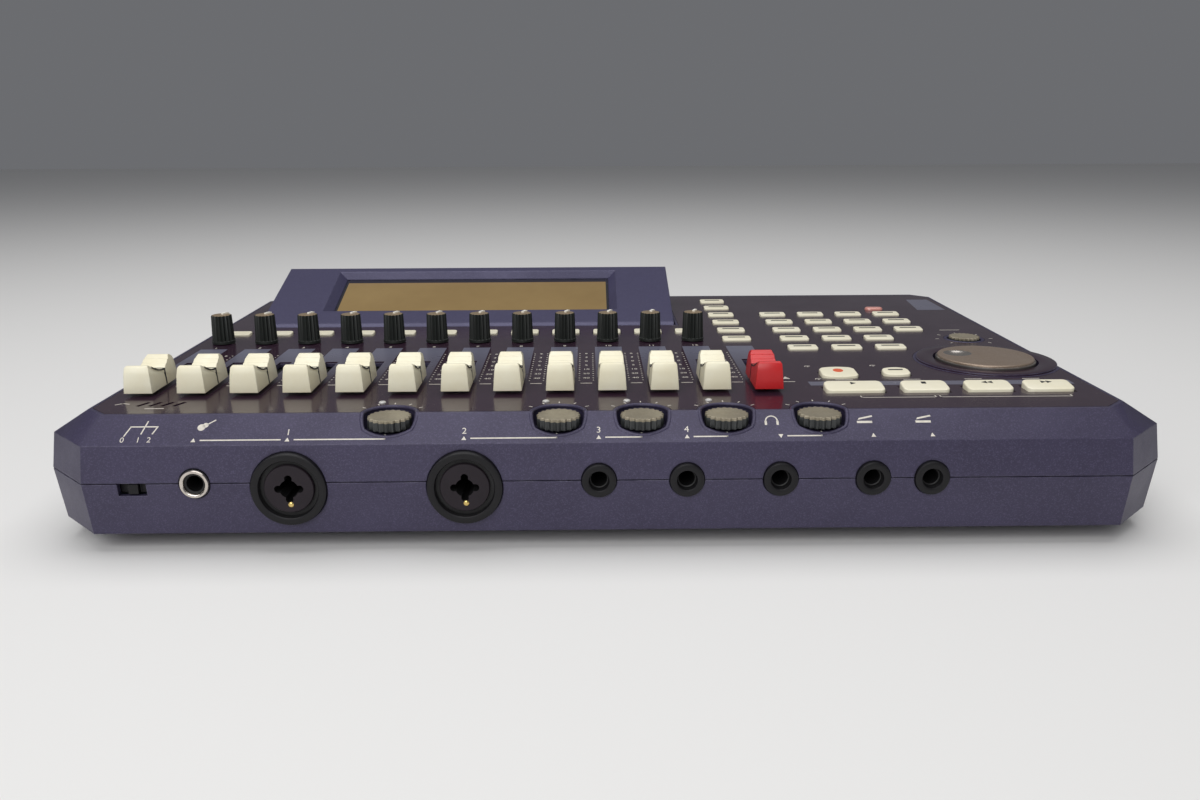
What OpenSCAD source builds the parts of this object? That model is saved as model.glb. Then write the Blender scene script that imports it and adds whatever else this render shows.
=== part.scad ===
// Digital multitrack recorder: a low desktop console with sloped shoulders, a bank of faders and pan knobs,
// rows of keys, a jog dial and a tilting display.
// The origin is on the table under the middle of the case, +X to the right, +Y to the back, +Z up.
// Places are given for a case 452 wide and 292 deep, and keep their share of it when it changes.

/* [Case] */
// Width of the case at the parting line
body_w = 452; // [410:1:490]
// Depth of the case at the parting line
body_d = 292; // [264:1:320]
// Length taken off each corner, seen from above
corner_cut = 21; // [12:1:26]
// Height of the lower shell
base_h = 21.5; // [20.5:0.5:26]
// Height of the upright wall of the upper shell
side_h = 15; // [14.5:0.5:22]
// Height of the sloped shoulder
bevel_drop = 9.5; // [6:0.5:11]
// Run of the sloped shoulder at the front, back and corners
bevel_run = 11; // [7:0.5:11.5]
// Run of the sloped shoulder at the sides
side_bevel_run = 15; // [8:0.5:16]
// Lean of the upper wall from the parting line to the shoulder
side_draft = 2; // [0.5:0.25:3]
// Lean of the lower wall from the parting line to the base
base_draft = 2.5; // [0.5:0.25:3]
// Thickness of the shell walls
wall = 2.5; // [1.5:0.25:3]
// Thickness of the deck
deck_t = 2.5; // [2:0.25:3]
// Thickness of the printed film on the deck
film_t = 0.6; // [0.4:0.1:1]
// Height of the groove at the parting line
seam = 0.4; // [0.2:0.1:0.8]

/* [Feet and screws] */
// Height of a foot
foot_h = 8; // [4:0.5:12]
// Radius of a foot where it meets the case
foot_r = 10; // [7:0.5:13]
// Distance of the feet from the middle, left and right
foot_x = 180; // [150:1:190]
// Distance of the feet from the middle, front and back
foot_y = 110; // [90:1:115]
// Radius of a screw's shank
screw_r = 1.4; // [1.2:0.1:1.8]

/* [Channels] */
// Number of channels, besides the master
channels = 12; // [8:1:12]
// Distance between neighbouring channels
pitch = 22; // [21:0.25:22.5]
// Distance between neighbouring rows of keys
row_pitch = 22; // [21:0.25:23]
// Place of the first channel, from the middle
first_x = -196; // [-198:0.5:-190]
// Fader travel
fader_travel = 45; // [30:1:46]
// Place of the fader caps at their lowest setting
fader_y = -92.8; // [-94:0.2:-91]
// Width of a fader cap at its foot
cap_w = 12; // [10:0.5:14]
// Width of a fader cap at its crests
cap_top_w = 10.2; // [8:0.2:11]
// Length of a fader cap
cap_l = 28.5; // [26:0.5:29]
// Height of a fader cap
cap_h = 11.6; // [10:0.2:13]
// Height of a fader cap above the deck
cap_lift = 1.5; // [0.8:0.1:2.5]
// Width of a fader slot
slot_w = 5.5; // [4.5:0.25:7]
// Place of the pan knobs, front to back
pan_y = -1.4; // [-3:0.2:0]
// Radius of a pan knob
pan_r = 5.4; // [4.5:0.1:6.5]
// Height of a pan knob
pan_h = 15.2; // [12:0.2:18]
// Place of the track keys, front to back
track_y = 19.4; // [18:0.2:21]

/* [Keys] */
// Width of a key
key_w = 14.6; // [13:0.2:17]
// Depth of a key
key_d = 7.4; // [5.5:0.1:7.6]
// Height of a key above the deck
key_h = 1.4; // [1.2:0.1:3]
// Travel of a key
key_travel = 1; // [0.6:0.1:1.2]
// Place of the column of mode keys
mode_x = 69; // [67:0.5:70]
// Place of the front mode key
mode_y = -1; // [-3:0.5:1]
// Place of the first column of function keys
grid_x = 99; // [97:0.5:100]
// Place of the front row of function keys
grid_y = -23; // [-25:0.5:-22]
// Depth of a transport button
transport_d = 10; // [8:0.5:12]
// Height of a transport button above the deck
transport_h = 3; // [2:0.25:4]
// Place of the transport buttons, front to back
transport_y = -103.5; // [-106:0.5:-101]

/* [Dials] */
// Place of the jog dial, left to right
jog_x = 179.6; // [177:0.2:181]
// Place of the jog dial, front to back
jog_y = -51.5; // [-54:0.5:-49]
// Radius of the jog dial
jog_r = 22.5; // [20:0.25:24]
// Height of the jog dial above the deck
jog_h = 2.75; // [2.5:0.25:5]
// Radius of the raised platform round the jog dial
platform_r = 31.5; // [29:0.5:32]
// Height of that platform above the deck
platform_h = 0.8; // [0.4:0.1:1.2]
// Radius of a front knob
trim_r = 8.7; // [7:0.1:9]
// Height of a front knob
trim_h = 4.7; // [4:0.1:5]
// Depth of the top of a front knob below the deck
trim_sink = 1; // [0.5:0.25:2]
// Room round a front knob in its recess
trim_room = 1.8; // [1:0.1:2.2]
// Radius of the contrast knob
contrast_r = 7.7; // [6.5:0.1:8.5]
// Place of the contrast knob, left to right
contrast_x = 187; // [185:0.5:189]
// Place of the contrast knob, front to back
contrast_y = -2.5; // [-4:0.5:0]

/* [Display] */
// Width of the display, on a case 452 wide
display_w = 231; // [210:1:236]
// Thickness of the display
display_t = 14; // [12:0.5:15]
// Length of the display behind its hinge
display_l = 71; // [68:0.5:74]
// Place of the display's middle, left to right
display_x = -75.5; // [-80:0.5:-74]
// Place of the hinge, front to back
hinge_y = 47; // [46:0.5:48]
// Depth of the hinge below the deck
hinge_sink = 5.5; // [4:0.25:6]
// Tilt of the display at rest
display_tilt = 17; // [5:1:40]
// Radius of a hinge pin
hinge_r = 2; // [1.5:0.1:3]
// Width of the visible window
lcd_w = 159; // [120:1:160]
// Height of the visible window
lcd_l = 48.5; // [38:0.5:49]
// Depth of the window below the bezel's face
lcd_sink = 4.5; // [3:0.25:5]

/* [Sockets] */
// Radius of the hole for a jack plug
plug_r = 3.2; // [3.2:0.05:3.5]
// Length of that hole
plug_l = 26; // [18:1:28]
// Radius of a jack's collar
jack_r = 6.85; // [6:0.1:7.5]
// Radius of the guitar jack's ferrule
ferrule_r = 6; // [5.5:0.1:7]
// Radius of a combination socket
combo_r = 14.85; // [13:0.1:15]
// Drop of the combination sockets below the parting line
combo_drop = 2.5; // [1:0.25:3]
// How far the sockets' collars stand out of the case
collar_out = 0.8; // [0.3:0.1:1.5]

/* [Hidden] */
$fn = 64;
fit = 0.2;              // room round a fixed piece in its hole
run = 0.4;              // room round a moving piece in its hole
rest_gap = 0.3;         // room between a moving piece and what carries it
pin_run = 0.06;         // radial room of a hinge pin
half_w = body_w / 2;
half_d = body_d / 2;
across = body_w / 452;  // share that places keep from left to right
along = body_d / 292;   // share that places keep from front to back
corner_reach = (half_w + half_d - corner_cut) / sqrt(2);
base_z = foot_h;
part_z = base_z + base_h;
shoulder_z = part_z + side_h;
deck_z = shoulder_z + bevel_drop;
floor_t = wall;
floor_z = base_z + floor_t;
deck_under_z = deck_z - deck_t;
film_z = deck_z - film_t;
film_margin = 1.2;      // rim of bare case round the film
rim_inset = 1;          // how far the groove at the parting line goes in
rim_t = 1.2;
deep = 60;              // long enough to cut through the case from top to bottom

// boards and what stands on them
board_t = 1.6;
control_drop = 12;
fader_unit_room = 0.8;
control_top_z = deck_z - control_drop;
control_z = control_top_z - board_t;
fader_unit_top_z = deck_under_z - fader_unit_room;
flange_t = 1.2;
switch_w = 6;
switch_room = 1.3;      // room left over a key switch when its key is down
switch_top_z = deck_under_z - rest_gap - flange_t - key_travel - switch_room;
flange_rim = 0.8;
stand_off_h = 5;
main_z = floor_z + stand_off_h;
main_top_z = main_z + board_t;
post_r = 3;

// faders
stem_w = 3;
stem_l = 4;
stem_depth = 4.5;       // how far a stem reaches into its unit
slot_end = stem_l / 2 + 0.7;
fader_unit_w = 9;
fader_unit_spare = 19;
fader_unit_l = fader_travel + fader_unit_spare;
fader_rest_y = fader_y * along;
fader_mid_y = fader_rest_y + fader_travel / 2;
slot_front_y = fader_rest_y - slot_end;
slot_back_y = fader_rest_y + fader_travel + slot_end;
front_lean = 0.8;       // how far the front crest stands behind the front foot
crest_round = 0.9;
front_crest_y = 2.6;    // where the steps behind the front crest begin
rear_run = 4.5;         // run of the rounded back
rear_crest_w = 0.6;
rear_crest_y = cap_l - rear_run - rear_crest_w;
riser = 0.4;
steps = 3;
valley_drop = 4.4;
valley_z = cap_h - valley_drop;
step_h = valley_drop / steps;
line_back = 1.6;        // how far the pointer line stands behind the middle of a cap
valley_half = 0.8;
line_y = cap_l / 2 + line_back;
front_tread = (line_y - valley_half - riser - front_crest_y) / (steps - 1);
rear_tread = (rear_crest_y - riser - line_y - valley_half) / (steps - 1);
line_w = 0.6;
line_deep = 0.3;

// knobs and dials
shaft_r = 3;
pot_w = 10;
pot_h = 6;
pot_top_z = control_top_z + pot_h;
low_pot_h = 1;
knob_gap = 0.5;
pan_row_y = pan_y * along;
pan_ribs = 18;
pan_rib = 0.7;
trim_ribs = 20;
trim_rib = 1;
trim_edge = 0.5;
cup_t = 2;
trim_cup_r = trim_r + trim_room;
deck_front_y = -(half_d - side_draft - bevel_run);
trim_ahead = 0.3;       // how far the front knobs stand before the deck's front edge
trim_y = deck_front_y - trim_ahead;
trim_base_z = deck_z - trim_sink - trim_h;
trim_under = 1.6;       // room under a front knob
trim_floor_z = trim_base_z - trim_under;
lip_room = 1;           // room between a front knob and the lip that it hangs over
lip_r = 20;             // bow of that lip, seen from above
lip_y = deck_front_y - (deck_z - trim_base_z + lip_room) * bevel_run / bevel_drop;
trims = [["trim_knob_1", -86.7 * across], ["trim_knob_2", -20 * across], ["trim_knob_3", 13.1 * across],
    ["trim_knob_4", 46.6 * across], ["phones_knob", 83.4 * across]];
contrast_place = [contrast_x * across, contrast_y * along];
contrast_room = 1.2;
contrast_cup_r = contrast_r + contrast_room;
contrast_h = 7;
contrast_rise = 1.5;
contrast_floor_z = deck_z + contrast_rise - contrast_h - knob_gap;
jog_place = [jog_x * across, jog_y * along];
jog_cup_deep = 4;
jog_cup_floor_z = deck_z - jog_cup_deep;
jog_gap = 1.2;
jog_skirt_in = 0.75;
jog_top_t = 1.3;
dimple_r = 11.6;
dimple_deep = 1.8;
dimple_reach = 12.5;
dimple_turn = 156;

// transport buttons: name, place and width
transports = [["play_button", 104.5 * across, 25 * across], ["stop_button", 134.5 * across, 19.5 * across],
    ["rewind_button", 161.5 * across, 19.5 * across], ["forward_button", 187 * across, 20 * across]];
transport_row_y = transport_y * along;
// barrel-shaped buttons: name, place, width and depth
barrels = [["record_button", 104 * across, -77.5 * along, 16, 13.5],
    ["punch_button", 130 * across, -77 * along, 12, 9.2]];
barrel_bow = 1.4;
barrel_h = 2.4;

// microphone slits
slit_w = 1.8;
slit_l = 6.5;
slit_lean = 25;
slit_pitch = 4.9;
slit_count = 4;
slit_x = -189.5 * across;
slit_y = -118 * along;

// display, worked out in its own frame with the hinge on the X axis
track_row_y = track_y * along;
hinge_line_y = track_row_y + hinge_y - track_y;   // the hinge keeps its distance from the track keys
panel_x = display_x * across;
panel_w = display_w * across;
hinge_z = deck_z - hinge_sink;
barrel_r = display_t / 2;
split_w = barrel_r - lcd_sink;
lcd_x = panel_x;
lcd_u = 15;
window_side = 4.8;
window_back = 2.5;
window_front = 0.6;
lcd_t = 4;
lcd_rim = 3;
pin_l = 9;
pin_grip = 5;
well_room = 0.8;
well_wall = 4;          // side walls, which hold the hinge pins
well_end = 2;           // front and back walls
well_floor_t = 2;
well_x0 = panel_x - panel_w / 2 - well_room;
well_x1 = panel_x + panel_w / 2 + well_room;
well_y0 = hinge_line_y - barrel_r - well_room;
well_y1 = hinge_line_y + sqrt(display_l ^ 2 + barrel_r ^ 2) + well_room;
well_z = hinge_z - barrel_r - well_room;

// front sockets
jack_z = part_z;
combo_z = part_z - combo_drop;
guitar_x = -161.3 * across;
combo_x = [-125 * across, -56.6 * across];
jack_x = [for (x = [-4.2, 30.2, 66.8, 103, 126.1]) x * across];
collar_l = 2.5 * wall;   // from the front face to the block of a socket
jack_back = plug_l + 2;
jack_body_w = 14;
jack_lead = 3;          // depth of the wide mouth in front of the plug's hole
mouth_r = plug_r + 0.4;
combo_groove_r = 11.6;
combo_insert_r = 9.6;
combo_groove_deep = 2.6;
combo_insert_deep = 1;
combo_body_w = 26;
pin_hole_r = 1.5;
pin_hole_place = 4;
pin_hole_deep = 5;
combo_plug_l = plug_l - 4;
switch_x = -185.7 * across;
switch_slot_w = 11.2;
switch_slot_h = 4.9;
switch_knob_w = 4;
switch_travel = 3.2;
switch_sink = 1.2;      // how far the slide switch stays behind the front face
switch_plate_t = 1.5;
switch_plate_rim = 1;

// back sockets: place and radius
rear_round = [for (s = [[-150, 7.6], [-125, 7.6], [-92, 5], [-74, 5], [-56, 5], [-38, 5]])
    [s[0] * across, s[1]]];
rear_square_x = [-14 * across, 4 * across];
rear_square_w = 10;
rear_square_hole = 6;
rear_hole_deep = 8;
rear_rim = 3;
rear_back = 14;
power_x = 30 * across;
power_r = 4;
power_flange_t = 2;

// insides
drive_w = 147;
drive_d = 101.6;
drive_h = 25.4;
drive_lift = 2;
drive_z = floor_z + drive_lift;
board_gap = 2;
board_inset = wall + base_draft + 3;
stand_offs = [for (p = [[-190, -125], [-90, -100], [30, -100], [190, -100], [-190, 0], [190, 0], [-190, 100],
    [30, 100]]) [p[0] * across, p[1] * along]];
control_side = 23;      // from the case's side to the control board
control_left_x = -half_w + control_side;
control_right_x = half_w - control_side;
control_front_y = -half_d + collar_l + jack_back;
control_back_y = well_y0 - well_end - 1;
control_wing_y = half_d - 26;
control_split_x = well_x1 + well_wall + 1;
post_y = 30;
front_post_y = -100;
control_posts = [for (p = [[-186, post_y], [-98, post_y], [-10, post_y], [85, 100], [190, 100], [145, -60],
    [first_x + 0.5 * pitch, front_post_y], [first_x + (channels - 0.5) * pitch, front_post_y]])
    [p[0] * across, p[1] * along]];
side_screw_x = half_w - 14;
end_screw_y = half_d - 18;
screw_places = concat(
    [for (x = [-side_screw_x, side_screw_x], y = [-45, 60]) [x, y * along]],
    [for (x = [-108, 100]) [x * across, end_screw_y]],
    [for (x = [-105, 150]) [x * across, -end_screw_y]]);
screw_post_r = 4.5;
drive_gap = 5;          // from the drive to the screw posts beside and behind it
drive_x = side_screw_x - screw_post_r - drive_gap - drive_w / 2;
drive_y = end_screw_y - screw_post_r - drive_gap - drive_d / 2;
screw_head_r = screw_r * 2;
screw_head_h = 2;
screw_bite = 9;         // how far a screw goes into the upper shell
screw_seat = 2;

function channel_x(i) = (first_x + i * pitch) * across;
function function_keys() = [for (row = [0:4], column = [0:(row < 2 ? 2 : 3)])
    [(grid_x + column * pitch) * across, (grid_y + row * row_pitch) * along]];
function mode_keys() = [for (row = [0:5]) [mode_x * across, (mode_y + row * row_pitch) * along]];
function track_keys() = [for (i = [0:channels - 1]) [channel_x(i), track_row_y]];

// names that repeat
function two_digits(i) = i < 10 ? str("0", i) : str(i);
fader_names = [for (i = [1:channels]) str("fader_cap_", two_digits(i))];
pan_names = [for (i = [1:channels]) str("pan_knob_", two_digits(i))];
trim_names = [for (t = trims) t[0]];
transport_names = [for (t = transports) t[0]];
barrel_names = [for (b = barrels) b[0]];

// colours
violet = [0.2, 0.19, 0.27];
plum = [0.13, 0.1, 0.15];
cream = [0.85, 0.82, 0.68];
red = [0.75, 0.15, 0.15];
black = [0.08, 0.08, 0.08];
grey = [0.45, 0.44, 0.4];
bronze = [0.5, 0.42, 0.35];
board_green = [0.1, 0.35, 0.2];
steel = [0.65, 0.65, 0.67];

// outline of the case from above, moved in by inset
function plan(inset) =
    let (x = half_w - inset, y = half_d - inset, c = corner_cut - inset * (2 - sqrt(2)))
    [[-x + c, -y], [x - c, -y], [x, -y + c], [x, y - c], [x - c, y], [-x + c, y], [-x, y - c], [-x, -y + c]];

// section of the upper shell across one pair of sides
function upper_section(reach, slope, inset, drop, low_z) =
    let (e = reach - inset, top = e - side_draft - slope)
    [[-e, low_z], [e, low_z], [e, part_z + seam], [e - side_draft, shoulder_z - drop], [top, deck_z - drop],
     [-top, deck_z - drop], [-e + side_draft, shoulder_z - drop], [-e, part_z + seam]];

// section of the lower shell across one pair of sides
function lower_section(reach, inset, low_z, high_z) =
    let (e = reach - inset)
    [[-e + base_draft, low_z], [e - base_draft, low_z], [e, part_z], [e, high_z], [-e, high_z], [-e, part_z]];

module along_x(l) { rotate([90, 0, 90]) linear_extrude(l, center = true) children(); }
module along_y(l) { rotate([90, 0, 0]) linear_extrude(l, center = true) children(); }

// what two bars along the diagonals share
module diagonals() {
    intersection() {
        rotate([0, 0, 45]) along_x(2 * body_w) children();
        rotate([0, 0, -45]) along_x(2 * body_w) children();
    }
}

module slab(w, d, h) { translate([-w / 2, -d / 2, 0]) cube([w, d, h]); }

module rod_y(r, y0, y1) { translate([0, y1, 0]) rotate([90, 0, 0]) cylinder(r = r, h = y1 - y0); }

// solid inside of the upper shell's outline
module upper_form(inset, drop, low_z) {
    intersection() {
        along_x(body_w) polygon(upper_section(half_d, bevel_run, inset, drop, low_z));
        along_y(body_d) polygon(upper_section(half_w, side_bevel_run, inset, drop, low_z));
        diagonals() polygon(upper_section(corner_reach, bevel_run, inset, drop, low_z));
    }
}

// solid inside of the lower shell's outline
module lower_form(inset, low_z, high_z) {
    intersection() {
        along_x(body_w) polygon(lower_section(half_d, inset, low_z, high_z));
        along_y(body_d) polygon(lower_section(half_w, inset, low_z, high_z));
        diagonals() polygon(lower_section(corner_reach, inset, low_z, high_z));
    }
}

// holes that the front and back sockets need in both shells
module socket_holes() {
    front = -half_d - 1;
    back = -half_d + 2 * wall + base_draft;
    translate([guitar_x, 0, jack_z]) rod_y(ferrule_r + fit, front, back);
    for (x = jack_x) translate([x, 0, jack_z]) rod_y(jack_r + fit, front, back);
    for (x = combo_x) translate([x, 0, combo_z]) rod_y(combo_r + fit, front, back);
    for (s = rear_round) translate([s[0], 0, jack_z]) rod_y(s[1] + fit, -back, -front);
    for (x = rear_square_x)
        translate([x, -(front + back) / 2, jack_z - rear_square_w / 2 - fit])
            slab(rear_square_w + 2 * fit, back - front, rear_square_w + 2 * fit);
    translate([power_x, 0, jack_z]) rod_y(power_r + run, -back, -front);
}

// outline with bowed front and back edges
module barrel_outline(w, d, grow) {
    bow_r = ((w / 2) ^ 2 + barrel_bow ^ 2) / (2 * barrel_bow);
    intersection() {
        square([w + 2 * grow, d + 2 * grow], center = true);
        translate([0, bow_r - d / 2]) circle(bow_r + grow, $fn = 128);
        translate([0, d / 2 - bow_r]) circle(bow_r + grow, $fn = 128);
    }
}

// every hole through the deck and its film
module deck_holes() {
    for (i = [0:channels])
        translate([channel_x(i), (slot_front_y + slot_back_y) / 2])
            square([slot_w, slot_back_y - slot_front_y], center = true);
    for (i = [0:channels - 1]) translate([channel_x(i), pan_row_y]) circle(shaft_r + run);
    for (place = concat(track_keys(), mode_keys(), function_keys()))
        translate(place) square([key_w + 2 * run, key_d + 2 * run], center = true);
    for (t = transports)
        translate([t[1], transport_row_y]) square([t[2] + 2 * run, transport_d + 2 * run], center = true);
    for (b = barrels) translate([b[1], b[2]]) barrel_outline(b[3], b[4], run);
    mic_slits();
}

module mic_slits() {
    for (i = [0:slit_count - 1])
        translate([slit_x + i * slit_pitch, slit_y]) rotate(-slit_lean) square([slit_w, slit_l], center = true);
}

// round recesses sunk in the deck: place, floor and radius
recesses = [[contrast_place[0], contrast_place[1], contrast_floor_z, contrast_cup_r],
    [jog_place[0], jog_place[1], jog_cup_floor_z, jog_r + jog_gap]];
knob_shafts = concat([for (t = trims) [t[1], trim_y, trim_floor_z]], [for (r = recesses) [r[0], r[1], r[2]]]);

module recess_cuts(grow, low_z) {
    for (r = recesses) translate([r[0], r[1], r[2] + low_z]) cylinder(r = r[3] + grow, h = deep);
    // the front knobs' recesses end at a bowed lip on the slope
    for (t = trims) translate([t[1], 0, trim_floor_z + low_z]) intersection() {
        translate([0, trim_y, 0]) cylinder(r = trim_cup_r + grow, h = deep);
        translate([0, lip_y + lip_r, 0]) cylinder(r = lip_r + grow, h = deep);
    }
}

module top_case() {
    color(violet) difference() {
        union() {
            difference() {
                upper_form(0, 0, part_z + seam);
                upper_form(wall, deck_t, part_z - 1);
            }
            // rim behind the groove at the parting line
            difference() {
                translate([0, 0, part_z]) linear_extrude(2 * seam) polygon(plan(rim_inset));
                translate([0, 0, part_z - 1]) linear_extrude(deep) polygon(plan(rim_inset + rim_t));
            }
            // cups under the recesses, tray of the display and posts of the control board
            intersection() {
                upper_form(0, 0, part_z + seam);
                union() {
                    recess_cuts(cup_t, -cup_t);
                    translate([well_x0 - well_wall, well_y0 - well_end, well_z - well_floor_t])
                        cube([well_x1 - well_x0 + 2 * well_wall, well_y1 - well_y0 + 2 * well_end, deep]);
                    for (p = control_posts)
                        translate([p[0], p[1], control_top_z])
                            cylinder(r = post_r, h = deck_under_z - control_top_z + 1);
                    for (p = screw_places)
                        translate([p[0], p[1], part_z + seam]) cylinder(r = screw_post_r, h = deep);
                }
            }
            translate([jog_place[0], jog_place[1], deck_under_z + fit])
                cylinder(r = platform_r, h = deck_t - fit + platform_h);
        }
        socket_holes();
        recess_cuts(0, 0);
        translate([well_x0, well_y0, well_z]) cube([well_x1 - well_x0, well_y1 - well_y0, deep]);
        translate([0, 0, deck_under_z - 1]) linear_extrude(deep) deck_holes();
        film_seat();
        // shaft and pin holes
        for (s = knob_shafts) translate([s[0], s[1], s[2] - deep / 2]) cylinder(r = shaft_r + run, h = deep);
        translate([panel_x, hinge_line_y, hinge_z]) rotate([0, 90, 0])
            cylinder(r = hinge_r + pin_run, h = panel_w + 2 * (well_room + pin_l - pin_grip), center = true);
        for (p = screw_places)
            translate([p[0], p[1], part_z]) cylinder(r = screw_r + pin_run, h = screw_bite + 1);
    }
}

// outline of the film: the deck inside a bare rim, less the display and the jog platform
module film_outline(shrink) {
    edge = film_margin + shrink;
    x = half_w - side_draft - side_bevel_run - edge;
    y = half_d - side_draft - bevel_run - edge;
    c = x + y - (corner_reach - side_draft - bevel_run - edge) * sqrt(2);
    difference() {
        polygon([[-x + c, -y], [x - c, -y], [x, -y + c], [x, y - c], [x - c, y], [-x + c, y], [-x, y - c],
                 [-x, -y + c]]);
        translate([well_x0 - edge, well_y0 - edge])
            square([well_x1 - well_x0 + 2 * edge, well_y1 - well_y0 + 2 * edge]);
        for (t = trims) translate([t[1], trim_y]) circle(trim_cup_r + edge);
        translate(contrast_place) circle(contrast_cup_r + edge);
        translate(jog_place) circle(platform_r + edge);
    }
}

module film_seat() { translate([0, 0, film_z]) linear_extrude(film_t + platform_h) film_outline(0); }

module deck_film() {
    color(plum) translate([0, 0, film_z]) linear_extrude(film_t) difference() {
        film_outline(fit);
        deck_holes();
    }
}

module bottom_case() {
    color(violet) difference() {
        union() {
            difference() {
                lower_form(0, base_z, part_z);
                lower_form(wall, floor_z, part_z + 1);
            }
            for (p = stand_offs) translate([p[0], p[1], floor_z - 1]) cylinder(r = post_r, h = stand_off_h + 1);
            for (x = [-1, 1], y = [-1, 1])
                translate([drive_x + x * drive_w / 3, drive_y + y * drive_d / 3, floor_z - 1])
                    cylinder(r = post_r, h = drive_z - floor_z + 1);
            intersection() {
                lower_form(0, base_z, part_z);
                for (p = screw_places)
                    translate([p[0], p[1], base_z]) cylinder(r = screw_post_r, h = base_h);
            }
        }
        socket_holes();
        translate([switch_x, -half_d + wall, part_z - switch_slot_h])
            slab(switch_slot_w, 4 * wall, switch_slot_h + 1);
        for (p = screw_places) {
            translate([p[0], p[1], base_z - 1]) cylinder(r = screw_r + fit, h = base_h + 2);
            translate([p[0], p[1], base_z - 1])
                cylinder(r = screw_head_r + fit, h = screw_seat + screw_head_h + 1);
        }
    }
}

module feet() {
    color(black) for (x = [-1, 1], y = [-1, 1])
        translate([x * foot_x * across, y * foot_y * along, 0])
            cylinder(r1 = foot_r - 1, r2 = foot_r, h = foot_h);
}

module case_screws() {
    color(steel) for (p = screw_places) translate([p[0], p[1], base_z + screw_seat]) {
        cylinder(r = screw_head_r, h = screw_head_h);
        cylinder(r = screw_r, h = base_h - screw_seat + screw_bite);
    }
}

module main_board() {
    color(board_green) translate([0, 0, main_z]) linear_extrude(board_t) difference() {
        polygon(plan(board_inset));
        translate([drive_x - drive_w / 2 - board_gap, drive_y - drive_d / 2 - board_gap])
            square([body_w, drive_d + 2 * board_gap]);
        for (p = screw_places) translate(p) circle(screw_post_r + board_gap);
    }
}

module control_board() {
    color(board_green) {
        translate([0, 0, control_z]) linear_extrude(board_t)
            polygon([[control_left_x, control_front_y], [control_right_x, control_front_y],
                     [control_right_x, control_wing_y], [control_split_x, control_wing_y],
                     [control_split_x, control_back_y], [control_left_x, control_back_y]]);
        for (i = [0:channels - 1])
            translate([channel_x(i), pan_row_y, control_z]) slab(pot_w, pot_w, pot_top_z - control_z);
        for (place = [contrast_place, jog_place])
            translate([place[0], place[1], control_z]) slab(pot_w, pot_w, board_t + low_pot_h);
        buttons = concat([for (t = transports) [t[1], transport_row_y]], [for (b = barrels) [b[1], b[2]]]);
        for (place = concat(track_keys(), mode_keys(), function_keys(), buttons))
            translate([place[0], place[1], control_z]) slab(switch_w, switch_w, switch_top_z - control_z);
    }
}

module fader_units() {
    color(steel) for (i = [0:channels]) translate([channel_x(i), fader_mid_y, 0]) difference() {
        translate([0, 0, control_top_z]) slab(fader_unit_w, fader_unit_l, fader_unit_top_z - control_top_z);
        translate([0, 0, fader_unit_top_z - stem_depth - rest_gap])
            slab(stem_w + 2 * rest_gap, fader_travel + stem_l + 2, deep);
    }
}

module hard_drive() {
    color(steel) translate([drive_x, drive_y, drive_z]) slab(drive_w, drive_d, drive_h);
}

// body of one jack: a collar in the front wall and a block that stands on the main board
module jack(r) {
    difference() {
        union() {
            rod_y(r, -half_d - collar_out, -half_d + collar_l + 1);
            translate([0, -half_d + collar_l + jack_back / 2, main_top_z - jack_z])
                slab(jack_body_w, jack_back, jack_z - main_top_z + jack_body_w / 2);
        }
        rod_y(mouth_r, -half_d - collar_out - 1, -half_d + jack_lead);
        rod_y(plug_r, -half_d, -half_d + jack_lead + plug_l);
    }
}

module guitar_jack() { color(steel) translate([guitar_x, 0, jack_z]) jack(ferrule_r); }

module phone_jacks() { color(black) for (x = jack_x) translate([x, 0, jack_z]) jack(jack_r); }

module combo_socket() {
    difference() {
        union() {
            rod_y(combo_r, -half_d - collar_out, -half_d + collar_l + 1);
            translate([0, -half_d + collar_l + jack_back / 2, main_top_z - combo_z])
                slab(combo_body_w, jack_back, combo_z - main_top_z + combo_body_w / 2);
        }
        rod_y(combo_groove_r, -half_d - collar_out - 1, -half_d + combo_insert_deep);
        difference() {
            rod_y(combo_groove_r, -half_d, -half_d + combo_groove_deep);
            rod_y(combo_insert_r, -half_d - 1, -half_d + combo_groove_deep + 1);
        }
        for (a = [0, 90, 180])
            translate([pin_hole_place * cos(a), 0, pin_hole_place * sin(a)])
                rod_y(pin_hole_r, -half_d - 1, -half_d + pin_hole_deep);
        rod_y(mouth_r, -half_d - 1, -half_d + pin_hole_deep);
        rod_y(plug_r, -half_d, -half_d + pin_hole_deep + combo_plug_l);
    }
}

module combo_sockets() { color(black) for (x = combo_x) translate([x, 0, combo_z]) combo_socket(); }

module rear_sockets() {
    color(black) {
        for (s = rear_round) translate([s[0], 0, jack_z]) difference() {
            union() {
                rod_y(s[1], half_d - collar_l - 1, half_d + collar_out);
                translate([0, half_d - collar_l - rear_back / 2, main_top_z - jack_z])
                    slab(2 * s[1], rear_back, jack_z - main_top_z + s[1]);
            }
            rod_y(s[1] - rear_rim, half_d - rear_hole_deep, half_d + collar_out + 1);
        }
        for (x = rear_square_x) translate([x, 0, 0]) difference() {
            union() {
                translate([0, half_d + (collar_out - collar_l - 1) / 2, jack_z - rear_square_w / 2])
                    slab(rear_square_w, collar_out + collar_l + 1, rear_square_w);
                translate([0, half_d - collar_l - rear_back / 2, main_top_z])
                    slab(rear_square_w, rear_back, jack_z - main_top_z + rear_square_w / 2);
            }
            translate([0, half_d, jack_z - rear_square_hole / 2])
                slab(rear_square_hole, 2 * rear_hole_deep, rear_square_hole);
        }
    }
}

// section of the display across its hinge
module display_section() {
    circle(barrel_r);
    translate([0, -barrel_r]) square([display_l, display_t]);
}

// children are drawn with the hinge on the X axis, then stood at the display's tilt
module on_hinge() {
    translate([0, hinge_line_y, hinge_z]) rotate([display_tilt, 0, 0]) children();
}

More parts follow.
